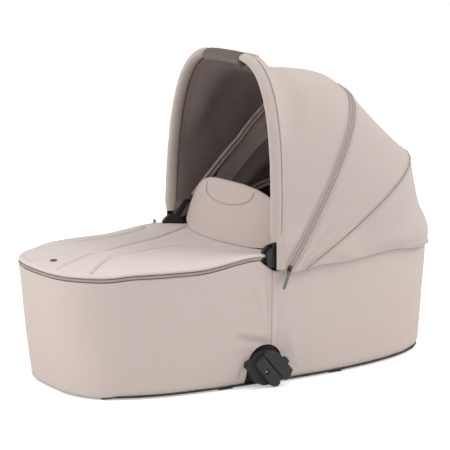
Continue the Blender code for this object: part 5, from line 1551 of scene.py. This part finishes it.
@dataclass
class HoodCloth:
    """The hood's outer panels, linings, netting, zip and seams."""
    columns: int = 240
    front_along: float = 0.009
    tape_half: float = 0.0055
    seam_half: float = 0.0007
    inner: float = 0.0126
    lining_low_z: float = 0.292
    dip: float = 0.013
    dip_at: float = 0.22
    dip_half: float = 0.20
    dip_z: float = 0.40
    dip_run: float = 0.12
    puff: float = 0.010
    puff_at: float = 0.78
    puff_half: float = 0.16
    puff_z: float = 0.42
    fold_depth: float = 0.012
    fold_at: float = 0.58

    def panel(self, name: str, first: Sequence[Vector], last: Sequence[Vector], rows: int, sag: float,
              ripple: Callable[[float, float, Vector], float]) -> bmesh.types.BMesh:
        """A panel between two lines.

        Args:
            name: The panel's name, for the log.
            first: Its first edge.
            last: Its last edge.
            rows: Its faces between them.
            sag: How much of its free span it sinks by.
            ripple: How far it sinks more, at shares along and across and at a place.

        Returns:
            The mesh under way, its faces outwards.
        """
        heart = HOOD.heart()

        def place(i: int, j: int) -> Vector:
            """A place on the panel.

            Args:
                i: The column's number along the lines.
                j: The row's number from the first line.

            Returns:
                The place.
            """
            t = j / rows
            a, b = first[i], last[i]
            p = a.lerp(b, t)
            span = max((b - a).length - 0.085, 0.0)
            inward = (heart - p).normalized()
            held = math.sin(math.pi * t)
            return p + inward * (span * sag * held + ripple(i / (len(first) - 1), t, p) * min(held * 3, 1.0))
        bm = Bench.grid(len(first) - 1, rows, place)
        middle = max(bm.faces, key=lambda f: f.calc_center_median().z)
        middle.normal_update()
        if middle.normal.dot(heart - middle.calc_center_median()) > 0:
            bmesh.ops.reverse_faces(bm, faces=bm.faces)
        log.info("%s laid", name)
        return bm

    @staticmethod
    def hang(name: str, node: str, bm: bmesh.types.BMesh, rests_on: Sequence[str], low: str, high: str,
             share: Callable[[Vector], float], finish: Palette = Palette.HOOD, slot: str = "cover_cloth",
             wall: float = 0.0012, held: str = "stretched") -> None:
        """Make a panel's mesh into a piece with a wall, and bake its place into its mesh.

        Args:
            name: The piece's name.
            node: The node that it stands for.
            bm: Its mesh.
            rests_on: What holds it.
            low: The body that it follows at share 0.
            high: The body that it follows at share 1.
            share: Each point's share.
            finish: Its finish.
            slot: The record's material slot.
            wall: Its thickness.
            held: How it is held.
        """
        made = Bench.piece(name, bm, finish, None, slot, (node,), wall)
        Bench.cloth(made, held, rests_on)
        Bench.bend(made, low, high, share)

    def outer(self) -> None:
        """The three outer panels."""
        n = self.columns
        edge = self.tape_half + 0.0003

        def front_ripple(s: float, t: float, p: Vector) -> float:
            """Soft waves of the front panel.

            Args:
                s: Not used.
                t: The share of the way across it, from its first line.
                p: The place.

            Returns:
                The way inwards in metres.
            """
            high = smooth((p.z - self.puff_z) / self.dip_run)
            return (0.0012 * noise.noise(p * 11.0) + 0.0008 * noise.noise(p * 24.0)
                    + high * (self.dip * hump(t - self.dip_at, self.dip_half)
                              - self.puff * hump(t - self.puff_at, self.puff_half))
                    + 0.0010 * hump(t - 0.06, 0.03) + 0.0012 * hump(t - 0.95, 0.03))

        def rear_ripple(s: float, t: float, p: Vector) -> float:
            """Drawn folds that fan out from the hubs.

            Args:
                s: The share of the way along the panel, from the near hem.
                t: The share of the way across it, from its first line.
                p: The place.

            Returns:
                The way inwards in metres.
            """
            side = min(s, 1 - s)
            fan = 0.0016 * math.sin(t * 17.0 + side * 9.0) * smooth(1 - side / 0.30) * smooth(side / 0.03)
            return fan + 0.0020 * noise.noise(p * 10.0) + 0.0008 * noise.noise(p * 26.0)
        bm = self.panel("front panel",
                        HOOD.ridge(HOOD.front, n, None, 0.0014, self.front_along, True, 0.009),
                        HOOD.ridge(HOOD.middle, n, None, 0.0, -edge, lift=LIFT), 44, 0.022, front_ripple)
        self.hang("hood_front_cloth", "hood_front_panel", bm, ["front_bow", "middle_bow"], "middle_bow",
                  "front_bow", lambda p: HOOD.turn_share(p, HOOD.middle, HOOD.front))
        bm = self.panel("middle panel", HOOD.ridge(HOOD.middle, n, None, 0.0, edge, lift=LIFT),
                        HOOD.ridge(HOOD.rear, n, None, 0.0, -self.seam_half, lift=DRAWN), 40, 0.030, rear_ripple)
        self.hang("hood_middle_cloth", "hood_middle_panel", bm, ["middle_bow", "rear_bow"], "rear_bow",
                  "middle_bow", lambda p: HOOD.turn_share(p, HOOD.rear, HOOD.middle))
        hem = [p + Vector((0, 0, 0.010 * smooth((p.x - 0.30) / 0.11))) for p in
               HOOD.hem(n, 0.062, -0.0060, -0.0090, 0.0085)]

        def low_ripple(s: float, t: float, p: Vector) -> float:
            """Folds above the rear hem.

            Args:
                s: The share of the way along the panel, from the near hem.
                t: The share of the way across it, from its first line.
                p: The place.

            Returns:
                The way inwards in metres.
            """
            side = min(s, 1 - s)
            pleat = 0.0030 * hump(side - 0.075, 0.022) * smooth((t - 0.35) / 0.5)
            pleat -= 0.0075 * hump(t - 0.80, 0.16) * smooth((p.x - 0.15) / 0.15)
            return pleat + 0.0018 * noise.noise(p * 12.0) + 0.0009 * noise.noise(p * 25.0)
        bm = self.panel("rear panel", HOOD.ridge(HOOD.rear, n, None, 0.0, self.seam_half, lift=DRAWN), hem,
                        30, 0.012, low_ripple)
        self.hang("hood_rear_cloth", "hood_rear_panel", bm, ["rear_bow", "rim_tube"], "tub", "rear_bow",
                  self.rear_share)
        hem_cord = Bench.cord([p + Vector((0, 0, 0.0006)) for p in hem], 0.0014, 8)
        Bench.piece("hood_hem_binding", hem_cord, Palette.PIPING, "tub", "cover_cloth")

    @staticmethod
    def rear_share(place: Vector) -> float:
        """A place's share of the way from the rear hem up to the rear bow.

        Args:
            place: The place.

        Returns:
            The share, 0 at the hem and 1 at the bow.
        """
        angle = math.degrees(math.atan2(place.z - HOOD.fan_z, place.x - HOOD.fan_x))
        low = math.degrees(math.atan2(TUB.rim_z(place.x) - 0.012 - HOOD.fan_z, place.x - HOOD.fan_x))
        return (angle - low) / max(HOOD.rear.rise_deg - low, 1.0)

    def zip(self) -> None:
        """The zip over the middle bow: tape, coil and a piping along each side."""
        n = 300
        lines = [HOOD.ridge(HOOD.middle, n, None, -0.0004, self.tape_half * k, lift=LIFT)
                 for k in (-1.0, -0.5, 0.0, 0.5, 1.0)]
        bm = Bench.grid(n, 4, lambda i, j: lines[j][i])
        top = max(bm.faces, key=lambda f: f.calc_center_median().z)
        top.normal_update()
        if top.normal.z < 0:
            bmesh.ops.reverse_faces(bm, faces=bm.faces)
        made = Bench.piece("hood_zip_band", bm, Palette.TAPE, "middle_bow", "zip_tape", ("hood_zip_tape",), 0.0012)
        Bench.cloth(made, "stretched", ["middle_bow"])
        path = HOOD.ridge(HOOD.middle, 1500, None, -0.0008, 0.0, lift=LIFT)
        coil = Bench.coil(path, HOOD.middle.across(), (0.0011, 0.0006), (0.0004, 0.0002))
        Bench.piece("hood_zip_teeth", coil, Palette.COIL, "middle_bow", "zip_tape")
        for word, along in (("front", -0.0066), ("rear", 0.0066)):
            path = HOOD.ridge(HOOD.middle, 260, None, -0.0007, along, lift=LIFT)
            Bench.piece(f"hood_zip_piping_{word}", Bench.cord(path, 0.0010, 8), Palette.PIPING, "middle_bow",
                        "cover_cloth")
        for bow, word, along, body in ((HOOD.rear, "rear_seam_front", -0.0048, "rear_bow"),
                                       (HOOD.rear, "rear_seam_back", 0.0048, "rear_bow"),
                                       (HOOD.middle, "zip_edge_front", -0.0110, "middle_bow"),
                                       (HOOD.middle, "zip_edge_back", 0.0110, "middle_bow")):
            row = HOOD.ridge(bow, 400, None, -0.0005, along, lift=LIFT if bow is HOOD.middle else DRAWN)
            Bench.piece(f"hood_{word}_stitches", Bench.stitches(row, 0.0042, 0.0003), Palette.THREAD_AND_SHADE, body,
                        "cover_cloth")
        # The dark cord along the rear bow's seam is painted shade of the seam's groove.
        seam = Bench.cord(HOOD.ridge(HOOD.rear, 300, None, -0.0003, 0.0, lift=DRAWN), 0.0009, 8)
        Bench.piece("hood_rear_piping_painted_shade", seam, Palette.SEAM_PAINTED_SHADE, "rear_bow", "cover_cloth")

    def inside(self) -> None:
        """The linings and the netting at the head end."""
        n = self.columns
        low, inset = self.lining_low_z, self.inner

        def slack(s: float, t: float, p: Vector) -> float:
            """The lining's loose waves."""
            return 0.0030 * noise.noise(p * 13.0) + 0.0016 * noise.noise(p * 28.0) + 0.0012

        def gathered(s: float, t: float, p: Vector) -> float:
            """The middle lining's deep fold."""
            return slack(s, t, p) + self.fold_depth * hump(t - self.fold_at, self.puff_half)

        def hung(s: float, t: float, p: Vector) -> float:
            """The front lining's waves, with the dip that it shares with the panel over it."""
            high = smooth((p.z - self.dip_z) / self.dip_run)
            return slack(s, t, p) + self.dip * high * hump(t - self.dip_at, self.dip_half)
        jobs = (("hood_front_lining", "front", "middle",
                 HOOD.ridge(HOOD.front, n, low, inset, 0.0114, True, 0.009),
                 HOOD.ridge(HOOD.middle, n, low, inset, -self.seam_half), Palette.LINING, hung),
                ("hood_middle_lining", "middle", "rear", HOOD.ridge(HOOD.middle, n, low, inset, self.seam_half),
                 HOOD.ridge(HOOD.rear, n, low, inset, -self.seam_half), Palette.LINING_WITH_PAINTED_SHADE, gathered))
        for node, first, last, line_a, line_b, finish, ripple in jobs:
            bm = self.panel(node, line_a, line_b, 30, 0.0, ripple)
            bows = {"front": HOOD.front, "middle": HOOD.middle, "rear": HOOD.rear}
            a, b = bows[last], bows[first]
            self.hang(f"{node}_cloth", node, bm, [f"{first}_bow", f"{last}_bow"], f"{last}_bow", f"{first}_bow",
                      lambda p, a=a, b=b: HOOD.turn_share(p, a, b), finish, "lining_cloth", 0.0010, "hung")
        bm = self.panel("hood_rear_mesh", HOOD.ridge(HOOD.rear, n, low, inset, self.seam_half),
                        HOOD.hem(n, 0.176, 0.0030, 0.0060, 0.0), 24, 0.0, lambda s, t, p: 0.0)
        self.hang("hood_rear_netting", "hood_rear_mesh", bm, ["rear_bow", "rim_tube"], "tub", "rear_bow",
                  self.rear_share, Palette.MESH, "mesh_cloth", 0.0008)

    def facing(self) -> None:
        """The facing that closes the front cloth behind the grip."""
        line = [p for p in HOOD.ridge(HOOD.front, 300, None, 0.0067, self.front_along - 0.0016, True, 0.006)
                if abs(p.y) < 0.079]
        bm = Bench.rod(line, HOOD.front.across(), lambda s, t: (
            0.0011 * math.copysign(abs(math.cos(t)) ** 0.5, math.cos(t)),
            0.0052 * math.copysign(abs(math.sin(t)) ** 0.5, math.sin(t))), 16)
        made = Bench.piece("hood_facing_cloth", bm, Palette.SLEEVE, "front_bow", "cover_cloth",
                           ("hood_front_facing",))

    def build(self) -> None:
        """Build all the hood's cloth."""
        self.outer()
        self.zip()
        self.inside()
        self.facing()


@dataclass
class BowDress:
    """The cloth sleeves on the bows and the padded grip."""
    half: float = 0.0120
    depth: float = 0.0081
    grip_radius: float = 0.0132
    grip_drop: float = 0.007

    def front_sleeve(self, word: str, side: float) -> None:
        """The sleeve on one leg of the front bow, flared where it meets the grip.

        Args:
            word: The side's word, near or far.
            side: The sign of the side's y.
        """
        bow = HOOD.front
        path = HOOD.tube_line(bow, 150, 0.0286, 0.0705, 1.0)
        path = [Vector((p.x, p.y * side, p.z)) for p in path]

        def section(s: float, t: float) -> tuple[float, float]:
            """The sleeve's half width and depth, with light rucks.

            Args:
                s: The share of the way along the rod.
                t: The angle round it.

            Returns:
                The corner's place in the section.
            """
            foot = 0.68 + 0.32 * smooth((1 - s) / 0.06)
            flare = 1 + 0.22 * smooth((0.10 - s) / 0.10)
            ruck = 1 + 0.018 * math.sin(s * 61.0 + math.sin(s * 17.0) * 2) * smooth(s / 0.1)
            lip = 1 - 0.25 * smooth((0.012 - s) / 0.012)
            return (self.half * foot * flare * ruck * lip * math.cos(t),
                    self.depth * (0.96 + 0.04 * ruck) * lip * math.sin(t))
        bm = Bench.rod(path, bow.across(), section, 20)
        made = Bench.piece(f"front_sleeve_cloth_{word}", bm, Palette.SLEEVE, "front_bow", "cover_cloth",
                           (f"front_bow_sleeve_{word}",))

    def grip(self) -> None:
        """The grip's padding, its wrapped seam and its stitches."""
        bow = HOOD.front
        path = HOOD.tube_line(bow, 80, 0.0, -0.0697, 0.0697)

        def section(s: float, t: float) -> tuple[float, float]:
            """The grip's section: rounder below, narrower at its ends.

            Args:
                s: The share of the way along the rod.
                t: The angle round it.

            Returns:
                The corner's place in the section.
            """
            end = 0.86 + 0.14 * smooth(min(s, 1 - s) / 0.05)
            lip = 1 - 0.35 * smooth((0.012 - min(s, 1 - s)) / 0.012)
            radius = self.grip_radius * end * lip
            return radius * math.cos(t), radius * math.sin(t) + self.grip_drop
        bm = Bench.rod(path, bow.across(), section, 24)
        made = Bench.piece("carry_grip_wrap", bm, Palette.GRIP, "front_bow", "grip_leather", ("carry_grip",))

    def inner_sleeve(self, bow: Bow) -> None:
        """The double band of cloth that holds a bow inside the hood.

        Args:
            bow: The bow.
        """
        path = HOOD.tube_line(bow, 200, 0.090)

        def section(s: float, t: float) -> tuple[float, float]:
            """Two rounded lobes side by side."""
            lobe = 0.62 + 0.38 * abs(math.cos(t)) ** 0.7
            return 0.0058 * math.cos(t), 0.0046 * lobe * math.sin(t)
        bm = Bench.rod(path, bow.across(), section, 20)
        made = Bench.piece(f"{bow.name}_band_cloth", bm, Palette.BAND, f"{bow.name}_bow", "lining_cloth",
                           (f"{bow.name}_bow_sleeve",))

    def double_band(self, bow: Bow) -> None:
        """Two stuffed pipings, side by side, over the lining where a bow runs behind it.

        Args:
            bow: The bow.
        """
        inner = replace(bow, tube_inset=0.0178)
        for k, along in enumerate((-0.0040, 0.0040)):
            path = [p + bow.across() * along for p in HOOD.tube_line(inner, 220, 0.075)]
            bm = Bench.rod(path, bow.across(), lambda s, t: (0.0036 * math.cos(t), 0.0030 * math.sin(t)), 12)
            Bench.piece(f"{bow.name}_lining_piping_{k}", bm, Palette.BAND, f"{bow.name}_bow",
                                  "lining_cloth")

    def leg_tab(self, word: str, side: float) -> None:
        """The sleeve's hanging end that covers the hub's rear half.

        Args:
            word: The side's word, near or far.
            side: The sign of the side's y.
        """
        path = [Vector((-0.0215, side * (0.2112 - 0.0040 * smooth((z - 0.262) / 0.03)), z))
                for z in (0.2195 + 0.0805 * i / 40 for i in range(41))]
        bm = Bench.rod(path, Vector((1, 0, 0)), lambda s, t: (
            0.0100 * (1 - 0.25 * smooth((s - 0.75) / 0.25)) * math.copysign(abs(math.cos(t)) ** 0.6, math.cos(t)),
            0.0008 * math.copysign(abs(math.sin(t)) ** 0.6, math.sin(t))), 20)
        Bench.piece(f"front_leg_tab_{word}", bm, Palette.SLEEVE, "front_bow", "cover_cloth")

    def build(self) -> None:
        """Build sleeves and grip."""
        for word, side in SIDES.items():
            self.front_sleeve(word, side)
            self.leg_tab(word, side)
        self.grip()
        for bow in (HOOD.middle, HOOD.rear):
            self.inner_sleeve(bow)
            self.double_band(bow)


@dataclass
class Hardware:
    """The nodes that keep their own shape, and the finish that each one gets."""
    finishes: dict[str, Palette] = field(default_factory=lambda: {
        "base_pan": Palette.PLASTIC, "foot_pad": Palette.RUBBER, "rim_tube": Palette.TUBE,
        "foot_stay": Palette.STEEL, "head_stay": Palette.STEEL, "side_upright": Palette.PLASTIC,
        "press_stud": Palette.STUD, "apron_zip_slider": Palette.STEEL, "apron_zip_pull": Palette.STEEL,
        "front_bow_arm": Palette.HUB, "middle_bow_arm": Palette.HUB, "rear_bow_arm": Palette.HUB,
        "front_bow": Palette.TUBE, "middle_bow": Palette.TUBE, "rear_bow": Palette.TUBE,
        "hub_housing": Palette.HUB, "hub_pin": Palette.HUB, "hood_zip_slider": Palette.GUNMETAL,
        "hood_zip_pull": Palette.GUNMETAL, "adaptor_latch": Palette.PLASTIC, "adaptor_screw": Palette.GUNMETAL,
        "adaptor": Palette.PLASTIC})

    def build(self) -> None:
        """Give every shown node its finish."""
        for name, node in sorted(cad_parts.items()):
            if node.hide_render:
                continue
            kind = max((k for k in self.finishes if name.startswith(k)), key=len, default=None)
            if kind is None:
                log.warning("%s has no finish", name)
                continue
            node.data.materials.clear()
            node.data.materials.append(self.finishes[kind].dress())
            log.info("%s dressed as %s", name, self.finishes[kind].value.name)


@dataclass
class Studio:
    """The pale floor, the soft lights and the camera."""
    eye: tuple[float, float, float] = (-1.9756, -3.3739, 0.9539)
    aim: tuple[float, float, float] = (-0.018635, 0.0, 0.27101)
    lens: float = 164.53
    lamps: tuple[tuple[Any, ...], ...] = (("key", (-3.2, 0.6, 2.6), (0, 0, 0.2), 2.2, 56.0),
                                          ("fill", (2.9, -1.8, 3.4), (0, 0, 0.25), 2.6, 90.0),
                                          ("low", (-3.2, 0.0, 0.8), (0.05, 0, 0.45), 1.2, 6.0))

    def floor(self) -> None:
        """A pale floor that shows white to the camera and keeps the object's shadow."""
        bm = bmesh.new()
        bmesh.ops.create_grid(bm, x_segments=4, y_segments=4, size=14.0)
        bmesh.ops.translate(bm, verts=bm.verts, vec=(0, 0, -0.0004))
        mesh = bpy.data.meshes.new("studio_floor")
        bm.to_mesh(mesh)
        bm.free()
        made = bpy.data.objects.new("studio_floor", mesh)
        bpy.context.scene.collection.objects.link(made)
        shade = Shade("floor_paper", (0.86, 0.86, 0.86), 0.9)
        rays = [shade.node("ShaderNodeLightPath", output=f"Is {kind} Ray") for kind in
                ("Camera", "Glossy", "Transmission")]
        seen = shade.sum("MAXIMUM", shade.sum("MAXIMUM", rays[0], rays[1]), rays[2])
        glow = shade.node("ShaderNodeEmission", {"Color": (1, 1, 1, 1), "Strength": seen * 0.42})
        both = shade.node("ShaderNodeAddShader", {0: Wire(shade, shade.shader.outputs[0]), 1: glow})
        shade.plug(shade.tree.nodes["Material Output"].inputs["Surface"], both)
        mesh.materials.append(shade.material)

    def world(self) -> None:
        """Even light from all round, white to the camera."""
        world = bpy.data.worlds.new("studio")
        bpy.context.scene.world = world
        world.use_nodes = True
        tree = world.node_tree
        light = tree.nodes["Background"]
        light.inputs["Color"].default_value = (1.0, 0.995, 0.99, 1)
        rays = tree.nodes.new("ShaderNodeLightPath")
        level = tree.nodes.new("ShaderNodeMapRange")
        level.inputs["To Min"].default_value, level.inputs["To Max"].default_value = 0.66, 1.0
        tree.links.new(rays.outputs["Is Camera Ray"], level.inputs["Value"])
        tree.links.new(level.outputs[0], light.inputs["Strength"])

    def lamp(self, name: str, place: Sequence[float], aim: Sequence[float], size: float, power: float) -> None:
        """A soft square lamp that points at a place.

        Args:
            name: The lamp's name.
            place: Where it stands.
            aim: Where it points.
            size: Its side in metres.
            power: Its power in watts.
        """
        data = bpy.data.lights.new(name, "AREA")
        data.shape, data.size, data.energy = "SQUARE", size, power
        made = bpy.data.objects.new(name, data)
        made.location = place
        made.rotation_euler = (Vector(aim) - Vector(place)).to_track_quat("-Z", "Y").to_euler()
        bpy.context.scene.collection.objects.link(made)

    def build(self) -> None:
        """Set up floor, lights and camera."""
        scene = bpy.context.scene
        scene.view_settings.view_transform = "Standard"
        self.floor()
        self.world()
        for lamp in self.lamps:
            self.lamp(*lamp)
        data = bpy.data.cameras.new("camera")
        data.lens, data.sensor_width = self.lens, 36.0
        camera = bpy.data.objects.new("camera", data)
        camera.location = self.eye
        camera.rotation_euler = (Vector(self.aim) - Vector(self.eye)).to_track_quat("-Z", "Y").to_euler()
        scene.collection.objects.link(camera)
        scene.camera = camera


def main() -> None:
    """Build every sub-assembly in turn."""
    logging.basicConfig(level=logging.INFO, format="%(name)s: %(message)s")
    for part in (Studio(), TubCover(), Liner(), Mattress(), Apron(), WindFlap(), HoodCloth(), BowDress(),
                 Hardware()):
        log.info("building %s", type(part).__name__)
        part.build()


if __name__ == "__main__":
    main()
